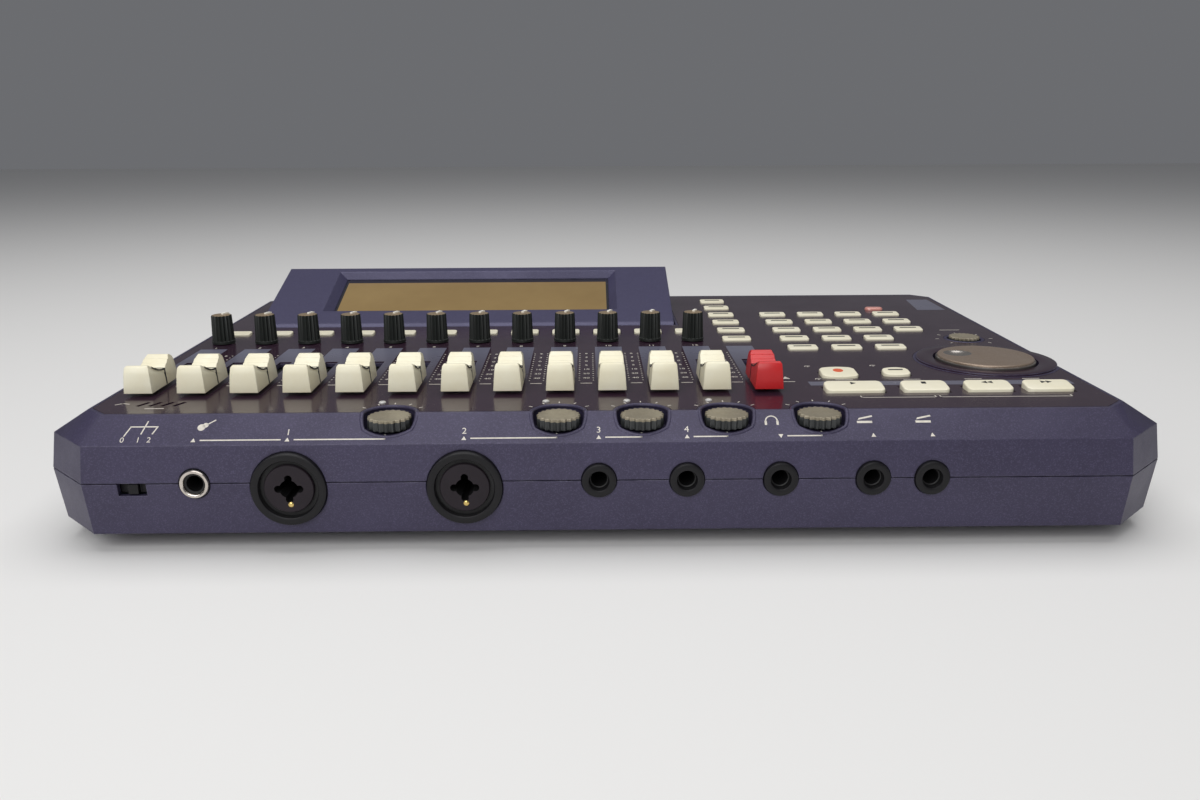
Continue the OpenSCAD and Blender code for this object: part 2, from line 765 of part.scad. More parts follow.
module display_body(low_w, high_w) {
    intersection() {
        translate([panel_x, 0, 0]) along_x(panel_w) display_section();
        translate([panel_x, 0, low_w]) slab(2 * panel_w, 4 * display_l, high_w - low_w);
    }
}

module window_cut() {
    intersection() {
        translate([0, lcd_u + lcd_l / 2, 0]) along_y(4 * lcd_l)
            polygon([[lcd_x - lcd_w / 2, split_w], [lcd_x + lcd_w / 2, split_w],
                     [lcd_x + lcd_w / 2 + window_side, barrel_r], [lcd_x - lcd_w / 2 - window_side, barrel_r]]);
        translate([lcd_x, 0, 0]) along_x(2 * lcd_w)
            polygon([[lcd_u, split_w], [lcd_u + lcd_l, split_w], [lcd_u + lcd_l + window_back, barrel_r],
                     [lcd_u - window_front, barrel_r]]);
    }
}

module lcd_block(grow, low_w, high_w) {
    translate([lcd_x, lcd_u + lcd_l / 2, low_w])
        slab(lcd_w + 2 * (lcd_rim + grow), lcd_l + 2 * (lcd_rim + grow), high_w - low_w);
}

module display_housing() {
    color(violet) on_hinge() difference() {
        display_body(-barrel_r, split_w);
        lcd_block(fit, split_w - lcd_t - fit, split_w + 1);
        translate([panel_x, 0, 0]) rotate([0, 90, 0]) difference() {
            cylinder(r = hinge_r + pin_run, h = panel_w + 1, center = true);
            cylinder(r = hinge_r + 1, h = panel_w - 2 * pin_grip, center = true);
        }
    }
}

module display_bezel() {
    color(violet) on_hinge() difference() {
        display_body(split_w, barrel_r);
        window_cut();
    }
}

module display_window() { color(bronze) on_hinge() lcd_block(0, split_w - lcd_t, split_w); }

module hinge_pins() {
    reach = panel_w / 2 - pin_grip + pin_l / 2;
    color(steel) for (side = [-1, 1])
        translate([panel_x + side * reach, hinge_line_y, hinge_z]) rotate([0, 90, 0])
            cylinder(r = hinge_r, h = pin_l - rest_gap, center = true);
}

// outline of a knob with rounded ribs, from a formula
function ribbed(r, ribs, depth) =
    [for (i = [0:ribs * 4 - 1])
        let (a = 90 * i / ribs, q = r - depth * (1 - cos(ribs * a)) / 2)
        [q * cos(a), q * sin(a)]];

// shaft from a knob's underside to the top of its pot
module shaft(z0, z1) { translate([0, 0, z0]) cylinder(r = shaft_r, h = z1 - z0); }

module pan_knob(i) {
    skirt_h = 1.5;
    skirt_rim = 0.3;
    cap_t = 0.8;
    cap_rim = 0.2;
    color(black) translate([channel_x(i), pan_row_y, 0]) {
        shaft(pot_top_z + rest_gap, deck_z + knob_gap + 1);
        translate([0, 0, deck_z + knob_gap]) {
            cylinder(r = pan_r + skirt_rim, h = skirt_h);
            linear_extrude(pan_h - cap_t) polygon(ribbed(pan_r, pan_ribs, pan_rib));
            translate([0, 0, pan_h - cap_t])
                cylinder(r1 = pan_r - pan_rib - cap_rim, r2 = pan_r - 2 * pan_rib - cap_rim, h = cap_t);
        }
    }
}

module scalloped_knob(r, h) {
    cap_t = 1;
    linear_extrude(h - cap_t) polygon(ribbed(r, trim_ribs, trim_rib));
    translate([0, 0, h - cap_t]) linear_extrude(cap_t) polygon(ribbed(r - trim_edge, trim_ribs, trim_rib));
}

module trim_knob(x) {
    color(grey) translate([x, trim_y, 0]) {
        shaft(trim_floor_z - cup_t - 1, trim_base_z + 1);
        translate([0, 0, trim_base_z]) scalloped_knob(trim_r, trim_h);
    }
}

module contrast_knob() {
    color(grey) translate(contrast_place) {
        shaft(control_top_z + low_pot_h + rest_gap, contrast_floor_z + knob_gap + 1);
        translate([0, 0, contrast_floor_z + knob_gap]) scalloped_knob(contrast_r, contrast_h);
    }
}

module jog_dial() {
    color(bronze) translate(jog_place) difference() {
        union() {
            shaft(control_top_z + low_pot_h + rest_gap, jog_cup_floor_z + knob_gap + 1);
            translate([0, 0, jog_cup_floor_z + knob_gap])
                cylinder(r = jog_r, h = deck_z + jog_h - jog_top_t - jog_cup_floor_z - knob_gap);
            translate([0, 0, deck_z + jog_h - jog_top_t]) cylinder(r = jog_r - jog_skirt_in, h = jog_top_t);
        }
        rotate([0, 0, dimple_turn]) translate([dimple_reach, 0, deck_z + jog_h - dimple_deep + dimple_r])
            sphere(r = dimple_r);
    }
}

// side view of a fader cap, from its front foot over the stepped valley to its back foot
function cap_profile() = concat(
    [[0, 0], [front_lean, cap_h - crest_round], [front_lean + crest_round, cap_h]],
    [for (k = [0:steps - 1], edge = [0, 1])
        [front_crest_y + k * front_tread + edge * riser, cap_h - (k + edge) * step_h]],
    [for (k = [steps - 1:-1:0], edge = [1, 0])
        [rear_crest_y - k * rear_tread - edge * riser, cap_h - (k + edge) * step_h]],
    [for (a = [0:15:90]) [cap_l - rear_run * (1 - sin(a)), cap_h * cos(a)]]);

module fader_cap(i, tint) {
    color(tint) translate([channel_x(i), fader_rest_y, deck_z + cap_lift]) {
        difference() {
            intersection() {
                translate([0, -cap_l / 2, 0]) along_x(cap_w) polygon(cap_profile());
                along_y(2 * cap_l) polygon([[-cap_w / 2, 0], [cap_w / 2, 0], [cap_top_w / 2, cap_h],
                    [-cap_top_w / 2, cap_h]]);
            }
            // pointer line across the valley and down both sides
            translate([0, line_back, 0]) difference() {
                slab(cap_w + 2, line_w, cap_h + 1);
                translate([0, 0, -1]) slab(cap_top_w - 2 * line_deep, 2 * line_w, valley_z - line_deep + 1);
            }
        }
        translate([0, 0, fader_unit_top_z - stem_depth - deck_z - cap_lift])
            slab(stem_w, stem_l, deck_z + cap_lift - fader_unit_top_z + stem_depth + 1);
    }
}

// a key with the flange that holds it under the deck
module key(w, d, h) {
    translate([0, 0, deck_under_z - rest_gap - flange_t]) {
        slab(w, d, deck_z + h - deck_under_z + rest_gap + flange_t);
        slab(w + 2 * (run + flange_rim), d + 2 * (run + flange_rim), flange_t);
    }
}

module key_set(places) { color(cream) for (place = places) translate(place) key(key_w, key_d, key_h); }

module track_keys() { key_set(track_keys()); }

module mode_keys() { key_set(mode_keys()); }

module function_keys() { key_set(function_keys()); }

module transport_button(t) {
    color(cream) translate([t[1], transport_row_y]) key(t[2], transport_d, transport_h);
}

module barrel_button(b) {
    color(cream) translate([b[1], b[2], deck_under_z - rest_gap - flange_t]) {
        linear_extrude(deck_z + barrel_h - deck_under_z + rest_gap + flange_t) barrel_outline(b[3], b[4], 0);
        linear_extrude(flange_t) barrel_outline(b[3], b[4], run + flange_rim);
    }
}

module input_switch() {
    knob_h = switch_slot_h - 2 * run;
    plate_y = -half_d + wall + base_draft * switch_slot_h / base_h + rest_gap;
    plate_w = switch_slot_w + 2 * (switch_travel + switch_plate_rim);
    color(black) translate([switch_x, 0, part_z - switch_slot_h + run]) {
        translate([-switch_knob_w / 2, -half_d + switch_sink, 0])
            cube([switch_knob_w, plate_y + half_d - switch_sink + switch_plate_t, knob_h]);
        translate([-plate_w / 2, plate_y, 0]) cube([plate_w, switch_plate_t, knob_h]);
    }
}

module power_switch() {
    flange_y = half_d - wall - side_draft / 2 - rest_gap;
    color(black) translate([power_x, 0, jack_z]) {
        rod_y(power_r, flange_y - power_flange_t, half_d);
        rod_y(power_r + run + flange_rim, flange_y - power_flange_t, flange_y);
    }
}

top_case();
deck_film();
bottom_case();
feet();
case_screws();
main_board();
control_board();
fader_units();
hard_drive();
guitar_jack();
combo_sockets();
phone_jacks();
rear_sockets();
display_housing();
display_bezel();
display_window();
hinge_pins();
jog_dial();
contrast_knob();
track_keys();
mode_keys();
function_keys();
input_switch();
power_switch();
fader_cap(channels, red);  // master_fader_cap
for (i = [0:channels - 1]) fader_cap(i, cream);
for (i = [0:channels - 1]) pan_knob(i);
for (t = trims) trim_knob(t[1]);
for (t = transports) transport_button(t);
for (b = barrels) barrel_button(b);
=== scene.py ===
import math

import bmesh
import bpy
from mathutils import Matrix, Quaternion, Vector


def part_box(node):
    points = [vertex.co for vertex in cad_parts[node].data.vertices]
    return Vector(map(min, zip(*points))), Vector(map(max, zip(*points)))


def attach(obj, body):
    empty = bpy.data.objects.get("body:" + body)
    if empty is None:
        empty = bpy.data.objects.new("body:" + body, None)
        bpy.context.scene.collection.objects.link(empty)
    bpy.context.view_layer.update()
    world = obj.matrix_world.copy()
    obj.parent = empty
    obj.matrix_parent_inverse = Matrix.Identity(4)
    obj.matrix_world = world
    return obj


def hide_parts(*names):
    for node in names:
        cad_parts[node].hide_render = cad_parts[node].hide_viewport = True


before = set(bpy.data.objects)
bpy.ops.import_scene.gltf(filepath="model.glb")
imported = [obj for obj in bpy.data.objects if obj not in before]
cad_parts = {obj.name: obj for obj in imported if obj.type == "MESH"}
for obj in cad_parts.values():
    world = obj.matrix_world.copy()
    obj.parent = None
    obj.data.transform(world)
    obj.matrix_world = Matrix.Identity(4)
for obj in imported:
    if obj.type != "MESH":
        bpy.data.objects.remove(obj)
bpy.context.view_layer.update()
mm = 0.001
print("frame loaded:", len(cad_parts), "nodes")


# places read from the frame, in millimetres
def lowOf(node):
    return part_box(node)[0] / mm


def highOf(node):
    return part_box(node)[1] / mm


def middleOf(node):
    return (lowOf(node) + highOf(node)) / 2


channelCount = 12
channelNames = ["%02d" % number for number in range(1, channelCount + 1)]
faderNodes = ["fader_cap_" + number for number in channelNames] + ["master_fader_cap"]
panNodes = ["pan_knob_" + number for number in channelNames]
trimNodes = ["trim_knob_1", "trim_knob_2", "trim_knob_3", "trim_knob_4", "phones_knob"]
faderX = [middleOf(node).x for node in faderNodes]
trimX = [middleOf(node).x for node in trimNodes]
trimY = middleOf("trim_knob_1").y
pitch = faderX[1] - faderX[0]
deckZ = highOf("deck_film").z
faderRestY = middleOf("fader_cap_01").y


# shared shader effects, each a node group with named sockets
def newGroup(name, inputs, outputs):
    tree = bpy.data.node_groups.new(name, "ShaderNodeTree")
    for label, value in inputs.items():
        socket = tree.interface.new_socket(label, in_out="INPUT", socket_type="NodeSocketFloat")
        socket.default_value = value
    for label in outputs:
        tree.interface.new_socket(label, in_out="OUTPUT", socket_type="NodeSocketFloat")
    return tree, tree.nodes.new("NodeGroupInput"), tree.nodes.new("NodeGroupOutput")


def addNode(tree, kind, values=None, **settings):
    node = tree.nodes.new(kind)
    for label, value in settings.items():
        setattr(node, label, value)
    for label, value in (values or {}).items():
        node.inputs[label].default_value = value
    return node


def math2(tree, operation, first, second):
    node = addNode(tree, "ShaderNodeMath", operation=operation)
    for index, source in enumerate((first, second)):
        if isinstance(source, (int, float)):
            node.inputs[index].default_value = source
        else:
            tree.links.new(source, node.inputs[index])
    return node.outputs[0]


def rangeOf(tree, source, low, high, toLow, toHigh):
    node = addNode(tree, "ShaderNodeMapRange",
                   {"From Min": low, "From Max": high, "To Min": toLow, "To Max": toHigh})
    tree.links.new(source, node.inputs["Value"])
    return node.outputs["Result"]


# a texture in the object's own space, with its scale from a socket
def addTexture(tree, kind, scale, values):
    place = addNode(tree, "ShaderNodeTexCoord")
    texture = addNode(tree, kind, values)
    tree.links.new(place.outputs["Object"], texture.inputs["Vector"])
    tree.links.new(scale, texture.inputs["Scale"])
    return texture


def makeMouldGrain():
    look = {"fine": {"Detail": 3.0, "Roughness": 0.6}, "broad": {"Detail": 5.0, "Roughness": 0.65},
            "mottle": (0.3, 0.7)}
    inputs = {"Grain": 2500.0, "Depth": 1.0, "Cloud": 30.0}
    tree, given, out = newGroup("mouldGrain", inputs, ["Height", "Mottle"])
    fine = addTexture(tree, "ShaderNodeTexNoise", given.outputs["Grain"], look["fine"])
    broad = addTexture(tree, "ShaderNodeTexNoise", given.outputs["Cloud"], look["broad"])
    height = math2(tree, "MULTIPLY", fine.outputs["Fac"], given.outputs["Depth"])
    tree.links.new(height, out.inputs["Height"])
    tree.links.new(rangeOf(tree, broad.outputs["Fac"], *look["mottle"], 0.0, 1.0), out.inputs["Mottle"])
    return tree


def makeFlake():
    look = {"cells": {"Randomness": 1.0}, "ramp": 0.5}
    tree, given, out = newGroup("metalFlake", {"Size": 2600.0, "Share": 0.5}, ["Mask"])
    cells = addTexture(tree, "ShaderNodeTexVoronoi", given.outputs["Size"], look["cells"])
    parts = addNode(tree, "ShaderNodeSeparateColor")
    tree.links.new(cells.outputs["Color"], parts.inputs["Color"])
    dull = math2(tree, "SUBTRACT", 1.0, given.outputs["Share"])
    bright = math2(tree, "SUBTRACT", parts.outputs["Red"], dull)
    tree.links.new(rangeOf(tree, bright, 0.0, look["ramp"], 0.0, 1.0), out.inputs["Mask"])
    return tree


# edge mask from rounded normals, broken by noise: wear on some finishes, and on others a painted highlight
# along their edges
def makeEdgeWear():
    look = {"samples": 4, "noise": {"Detail": 4.0, "Roughness": 0.7}, "patch": (0.42, 0.62),
            "turned": (0.02, 0.16)}
    tree, given, out = newGroup("edgeWearAndHighlight", {"Radius": 0.0006, "Amount": 1.0, "Break": 180.0}, ["Mask"])
    rounded = addNode(tree, "ShaderNodeBevel", samples=look["samples"])
    tree.links.new(given.outputs["Radius"], rounded.inputs["Radius"])
    flat = addNode(tree, "ShaderNodeNewGeometry")
    dot = addNode(tree, "ShaderNodeVectorMath", operation="DOT_PRODUCT")
    tree.links.new(rounded.outputs["Normal"], dot.inputs[0])
    tree.links.new(flat.outputs["Normal"], dot.inputs[1])
    turned = math2(tree, "SUBTRACT", 1.0, dot.outputs["Value"])
    broken = addTexture(tree, "ShaderNodeTexNoise", given.outputs["Break"], look["noise"])
    patch = rangeOf(tree, broken.outputs["Fac"], *look["patch"], 0.0, 1.0)
    wornAndLitEdge = math2(tree, "MULTIPLY", rangeOf(tree, turned, *look["turned"], 0.0, 1.0), patch)
    tree.links.new(math2(tree, "MULTIPLY", wornAndLitEdge, given.outputs["Amount"]), out.inputs["Mask"])
    return tree


def makeDust():
    look = {"cells": {"Randomness": 1.0}, "speck": (0.05, 0.12), "rare": (0.72, 0.95), "up": (0.4, 0.9)}
    tree, given, out = newGroup("dustSpecks", {"Size": 420.0, "Amount": 0.5}, ["Mask"])
    cells = addTexture(tree, "ShaderNodeTexVoronoi", given.outputs["Size"], look["cells"])
    speck = rangeOf(tree, cells.outputs["Distance"], *look["speck"], 1.0, 0.0)
    parts = addNode(tree, "ShaderNodeSeparateColor")
    tree.links.new(cells.outputs["Color"], parts.inputs["Color"])
    rare = rangeOf(tree, parts.outputs["Green"], *look["rare"], 0.0, 1.0)
    facing = addNode(tree, "ShaderNodeNewGeometry")
    axis = addNode(tree, "ShaderNodeSeparateXYZ")
    tree.links.new(facing.outputs["Normal"], axis.inputs["Vector"])
    up = rangeOf(tree, axis.outputs["Z"], *look["up"], 0.0, 1.0)
    settled = math2(tree, "MULTIPLY", math2(tree, "MULTIPLY", speck, rare), up)
    tree.links.new(math2(tree, "MULTIPLY", settled, given.outputs["Amount"]), out.inputs["Mask"])
    return tree


mouldGrain = makeMouldGrain()
metalFlake = makeFlake()
edgeWearAndHighlight = makeEdgeWear()
dustSpecks = makeDust()
print("shared effects made")


# materials
def srgb(red, green, blue):
    linear = [value / 255 / 12.92 if value <= 10 else ((value / 255 + 0.055) / 1.055) ** 2.4
              for value in (red, green, blue)]
    return (*linear, 1.0)


def placeGroup(tree, group, values):
    return addNode(tree, "ShaderNodeGroup", values, node_tree=group)


def mixColours(tree, mask, under, over):
    node = addNode(tree, "ShaderNodeMix", data_type="RGBA")
    tree.links.new(mask, node.inputs["Factor"])
    for label, source in (("A", under), ("B", over)):
        socket = [item for item in node.inputs if item.name == label and item.type == "RGBA"][0]
        if isinstance(source, tuple):
            socket.default_value = source
        else:
            tree.links.new(source, socket)
    return [item for item in node.outputs if item.type == "RGBA"][0]


def newMaterial(name):
    material = bpy.data.materials.new(name)
    material.use_nodes = True
    return material, material.node_tree, material.node_tree.nodes["Principled BSDF"]


# what a finish has where it doesn't state its own value
plainFinish = {"grain": 2500.0, "grainDepth": 1.0, "cloud": 30.0, "flakeSize": 2600.0, "flakeShare": 0.5,
               "wearAndHighlightRadius": 0.0006, "wearAndHighlightAmount": 0.6, "dustSize": 420.0, "dustAmount": 0.5,
               "roughSpread": 0.06, "bump": 0.15, "bumpDepth": 0.0001, "roundSamples": 4, "metal": 0.0,
               "coat": 0.0, "coatRough": 0.1, "ior": 1.5}


# one moulded, painted or printed finish; stated holds what a user would change
def finish(name, stated):
    look = {**plainFinish, **stated}
    material, tree, shader = newMaterial(name)
    grain = placeGroup(tree, mouldGrain, {"Grain": look["grain"], "Depth": look["grainDepth"],
                                          "Cloud": look["cloud"]})
    colour = mixColours(tree, grain.outputs["Mottle"], look["colour"], look["shade"])
    if "flake" in look:
        flake = placeGroup(tree, metalFlake, {"Size": look["flakeSize"], "Share": look["flakeShare"]})
        colour = mixColours(tree, flake.outputs["Mask"], colour, look["flake"])
    if "fade" in look:  # towards another colour at the front
        place = addNode(tree, "ShaderNodeTexCoord")
        axis = addNode(tree, "ShaderNodeSeparateXYZ")
        tree.links.new(place.outputs["Generated"], axis.inputs["Vector"])
        front = rangeOf(tree, axis.outputs["Y"], *look["fadeRange"], 1.0, 0.0)
        colour = mixColours(tree, front, colour, look["fade"])
    # edge colour: wear, and on the case and the jog dial a painted highlight along the edges
    if "wornAndLitEdge" in look:
        wearAndHighlight = placeGroup(tree, edgeWearAndHighlight, {"Radius": look["wearAndHighlightRadius"], "Amount": look["wearAndHighlightAmount"]})
        colour = mixColours(tree, wearAndHighlight.outputs["Mask"], colour, look["wornAndLitEdge"])
    if "dust" in look:
        dust = placeGroup(tree, dustSpecks, {"Amount": look["dustAmount"], "Size": look["dustSize"]})
        colour = mixColours(tree, dust.outputs["Mask"], colour, look["dust"])
    tree.links.new(colour, shader.inputs["Base Color"])
    smooth = look["rough"] - look["roughSpread"]
    coarse = look["rough"] + look["roughSpread"]
    rough = rangeOf(tree, grain.outputs["Mottle"], 0.0, 1.0, smooth, coarse)
    tree.links.new(rough, shader.inputs["Roughness"])
    bump = addNode(tree, "ShaderNodeBump", {"Strength": look["bump"], "Distance": look["bumpDepth"]})
    tree.links.new(grain.outputs["Height"], bump.inputs["Height"])
    if "round" in look:
        rounded = addNode(tree, "ShaderNodeBevel", {"Radius": look["round"]}, samples=look["roundSamples"])
        tree.links.new(rounded.outputs["Normal"], bump.inputs["Normal"])
    tree.links.new(bump.outputs["Normal"], shader.inputs["Normal"])
    shader.inputs["Metallic"].default_value = look["metal"]
    shader.inputs["Coat Weight"].default_value = look["coat"]
    shader.inputs["Coat Roughness"].default_value = look["coatRough"]
    shader.inputs["IOR"].default_value = look["ior"]
    return material


# case paint: its pale edge colour is partly wear and partly a painted highlight along the edges
caseViolet = finish("caseViolet", {
    "colour": srgb(60, 55, 80), "shade": srgb(54, 49, 72), "flake": srgb(78, 73, 100), "flakeShare": 0.35,
    "wornAndLitEdge": srgb(124, 120, 142), "wearAndHighlightAmount": 0.7, "metal": 0.2, "rough": 0.45, "bump": 0.2,
    "round": 0.0007, "dust": srgb(150, 148, 150), "dustAmount": 0.25})
displayViolet = finish("displayViolet", {
    "colour": srgb(72, 69, 98), "shade": srgb(65, 62, 90), "flake": srgb(86, 84, 114), "flakeShare": 0.3,
    "wornAndLitEdge": srgb(140, 138, 160), "wearAndHighlightAmount": 0.6, "metal": 0.3, "rough": 0.38, "bump": 0.2,
    "round": 0.0009})
# deck film: its plum-red tone is partly a painted reflection of red surroundings
deckGloss = finish("deckGloss", {
    "colour": srgb(50, 32, 46), "shade": srgb(43, 27, 40), "flake": srgb(68, 48, 64), "flakeShare": 0.2,
    "rough": 0.2, "roughSpread": 0.05, "coat": 0.1, "coatRough": 0.06, "bump": 0.03, "ior": 1.38,
    "dust": srgb(170, 164, 160), "dustAmount": 0.6})
bandBlue = finish("bandBlue", {
    "colour": srgb(104, 103, 118), "shade": srgb(95, 94, 109), "rough": 0.3, "bump": 0.05,
    "dust": srgb(176, 174, 176), "dustAmount": 0.5})
# the bands fade at the front into the deck's tone, with its painted red reflection
channelBlue = finish("channelBlue", {
    "colour": srgb(106, 106, 122), "shade": srgb(97, 97, 113), "fade": srgb(48, 34, 45),
    "fadeRange": (0.15, 0.9), "rough": 0.3, "bump": 0.05, "dust": srgb(176, 174, 176), "dustAmount": 0.5})
printWhite = finish("printWhite", {
    "colour": srgb(222, 216, 204), "shade": srgb(198, 192, 182), "cloud": 500.0, "rough": 0.45,
    "bump": 0.05})
printBlack = finish("printBlack", {
    "colour": srgb(24, 23, 26), "shade": srgb(32, 30, 34), "cloud": 500.0, "rough": 0.45, "bump": 0.05})
faderCream = finish("faderCream", {
    "colour": srgb(243, 238, 214), "shade": srgb(236, 228, 198), "cloud": 60.0, "rough": 0.36,
    "bump": 0.1, "round": 0.0004, "wornAndLitEdge": srgb(250, 247, 232), "wearAndHighlightAmount": 0.3,
    "dust": srgb(150, 140, 120), "dustAmount": 0.2})
faderRed = finish("faderRed", {
    "colour": srgb(208, 42, 44), "shade": srgb(194, 34, 38), "cloud": 60.0, "rough": 0.34, "bump": 0.1,
    "round": 0.0004, "wornAndLitEdge": srgb(222, 92, 86), "wearAndHighlightAmount": 0.4})
keyCream = finish("keyCream", {
    "colour": srgb(242, 236, 214), "shade": srgb(232, 225, 198), "cloud": 50.0, "rough": 0.4,
    "bump": 0.12, "wornAndLitEdge": srgb(192, 184, 158), "wearAndHighlightAmount": 0.4, "dust": srgb(140, 130, 112),
    "dustAmount": 0.25})
knobBlack = finish("knobBlack", {
    "colour": srgb(38, 41, 39), "shade": srgb(30, 33, 31), "cloud": 90.0, "rough": 0.45, "bump": 0.15,
    "ior": 1.4, "wornAndLitEdge": srgb(84, 86, 80), "wearAndHighlightAmount": 0.3, "dust": srgb(150, 144, 130),
    "dustAmount": 0.3})
knobCrown = finish("knobCrown", {
    "colour": srgb(160, 140, 112), "shade": srgb(140, 120, 94), "cloud": 160.0, "rough": 0.34,
    "metal": 0.3, "bump": 0.1, "wornAndLitEdge": srgb(196, 180, 154), "dust": srgb(206, 196, 180),
    "dustAmount": 0.3})
pointerPale = finish("pointerPale", {
    "colour": srgb(252, 249, 240), "shade": srgb(246, 242, 230), "cloud": 300.0, "rough": 0.4,
    "bump": 0.08})
knobGrey = finish("knobGrey", {
    "colour": srgb(150, 141, 121), "shade": srgb(134, 125, 106), "cloud": 120.0, "rough": 0.4,
    "bump": 0.2, "flake": srgb(168, 160, 140), "flakeShare": 0.25, "metal": 0.25,
    "wornAndLitEdge": srgb(182, 172, 154), "dust": srgb(190, 170, 150), "dustAmount": 0.3})
knobShade = finish("knobShade", {
    "colour": srgb(52, 54, 54), "shade": srgb(42, 44, 45), "cloud": 90.0, "rough": 0.4, "bump": 0.2,
    "wornAndLitEdge": srgb(112, 112, 106), "wearAndHighlightAmount": 0.4})
# jog dial: the pale edge colour on its top and skirt is mostly a painted highlight along the rims, partly
# wear
dialBronze = finish("dialBronze", {
    "colour": srgb(154, 136, 120), "shade": srgb(142, 124, 108), "cloud": 70.0, "rough": 0.34,
    "metal": 0.5, "flake": srgb(174, 158, 142), "flakeShare": 0.3, "bump": 0.1,
    "wornAndLitEdge": srgb(214, 208, 198), "wearAndHighlightAmount": 0.8, "dust": srgb(190, 180, 168), "dustAmount": 0.35})
# polished dimple insert; its lighter colour is partly a painted highlight
dimplePolishAndHighlight = finish("dimplePolishAndHighlight", {
    "colour": srgb(176, 170, 164), "shade": srgb(158, 152, 146), "cloud": 90.0, "rough": 0.22,
    "metal": 0.85, "bump": 0.05, "wornAndLitEdge": srgb(220, 216, 210), "wearAndHighlightAmount": 0.4})
dialShade = finish("dialShade", {
    "colour": srgb(82, 77, 74), "shade": srgb(70, 66, 64), "cloud": 80.0, "rough": 0.36, "metal": 0.3,
    "bump": 0.1, "wornAndLitEdge": srgb(190, 184, 172), "wearAndHighlightAmount": 0.9})
socketBlack = finish("socketBlack", {
    "colour": srgb(20, 19, 22), "shade": srgb(15, 14, 17), "cloud": 90.0, "rough": 0.4, "bump": 0.1,
    "ior": 1.36, "wornAndLitEdge": srgb(74, 72, 74), "wearAndHighlightAmount": 0.4})
# combo insert: its plum tint is partly a painted reflection of red surroundings
socketPlum = finish("socketPlum", {
    "colour": srgb(34, 26, 33), "shade": srgb(28, 21, 27), "cloud": 120.0, "rough": 0.45, "bump": 0.15,
    "ior": 1.36})
# a darker, rougher copy of the socket black for bores and grooves: painted shade in the hollows
socketRecessShade = finish("socketRecessShade", {
    "colour": srgb(14, 13, 15), "shade": srgb(10, 9, 11), "cloud": 120.0, "rough": 0.6, "bump": 0.1})
ferruleNickel = finish("ferruleNickel", {
    "colour": srgb(214, 206, 198), "shade": srgb(196, 188, 180), "cloud": 400.0, "rough": 0.2,
    "metal": 1.0, "bump": 0.04, "wornAndLitEdge": srgb(150, 132, 104), "wearAndHighlightAmount": 0.3})
contactGold = finish("contactGold", {
    "colour": srgb(230, 204, 134), "shade": srgb(212, 182, 108), "cloud": 500.0, "rough": 0.22,
    "metal": 0.8, "bump": 0.04})
steelPlain = finish("steelPlain", {
    "colour": srgb(168, 168, 172), "shade": srgb(150, 150, 155), "cloud": 200.0, "rough": 0.35,
    "metal": 1.0, "bump": 0.08})
boardGreen = finish("boardGreen", {
    "colour": srgb(22, 84, 54), "shade": srgb(17, 68, 44), "cloud": 120.0, "rough": 0.3, "bump": 0.1,
    "flake": srgb(60, 120, 84), "flakeSize": 300.0, "flakeShare": 0.15})
footRubber = finish("footRubber", {
    "colour": srgb(36, 35, 36), "shade": srgb(28, 27, 28), "cloud": 120.0, "rough": 0.7, "bump": 0.35,
    "dust": srgb(120, 112, 104), "dustAmount": 0.4})
lensRose = finish("lensRose", {
    "colour": srgb(214, 150, 138), "shade": srgb(200, 132, 122), "cloud": 200.0, "rough": 0.2,
    "coat": 0.6, "bump": 0.06})
lensClear = finish("lensClear", {
    "colour": srgb(196, 194, 190), "shade": srgb(178, 176, 172), "cloud": 400.0, "rough": 0.14,
    "coat": 0.7, "bump": 0.03})
dotOrange = finish("dotOrange", {
    "colour": srgb(226, 104, 66), "shade": srgb(214, 90, 56), "cloud": 400.0, "rough": 0.4, "bump": 0.1})


# the unlit display: tan glass with a faint net of dots under a clear coat and a dark line round its edge;
# the line's wide back part is a painted shadow of the bezel
windowLook = {"glass": srgb(152, 126, 78), "net": srgb(136, 112, 66), "edge": srgb(134, 108, 62),
              "grain": {"Grain": 900.0, "Cloud": 14.0}, "dotPitch": 2100.0, "netShare": 0.35,
              "line": srgb(24, 22, 30), "hiddenRim": 3.0, "sideLine": 1.2, "backLineAndShadow": 4.8, "frontLine": 0.8,
              "lineBlur": 0.1, "rough": (0.16, 0.24), "coat": 0.8, "coatRough": 0.04}


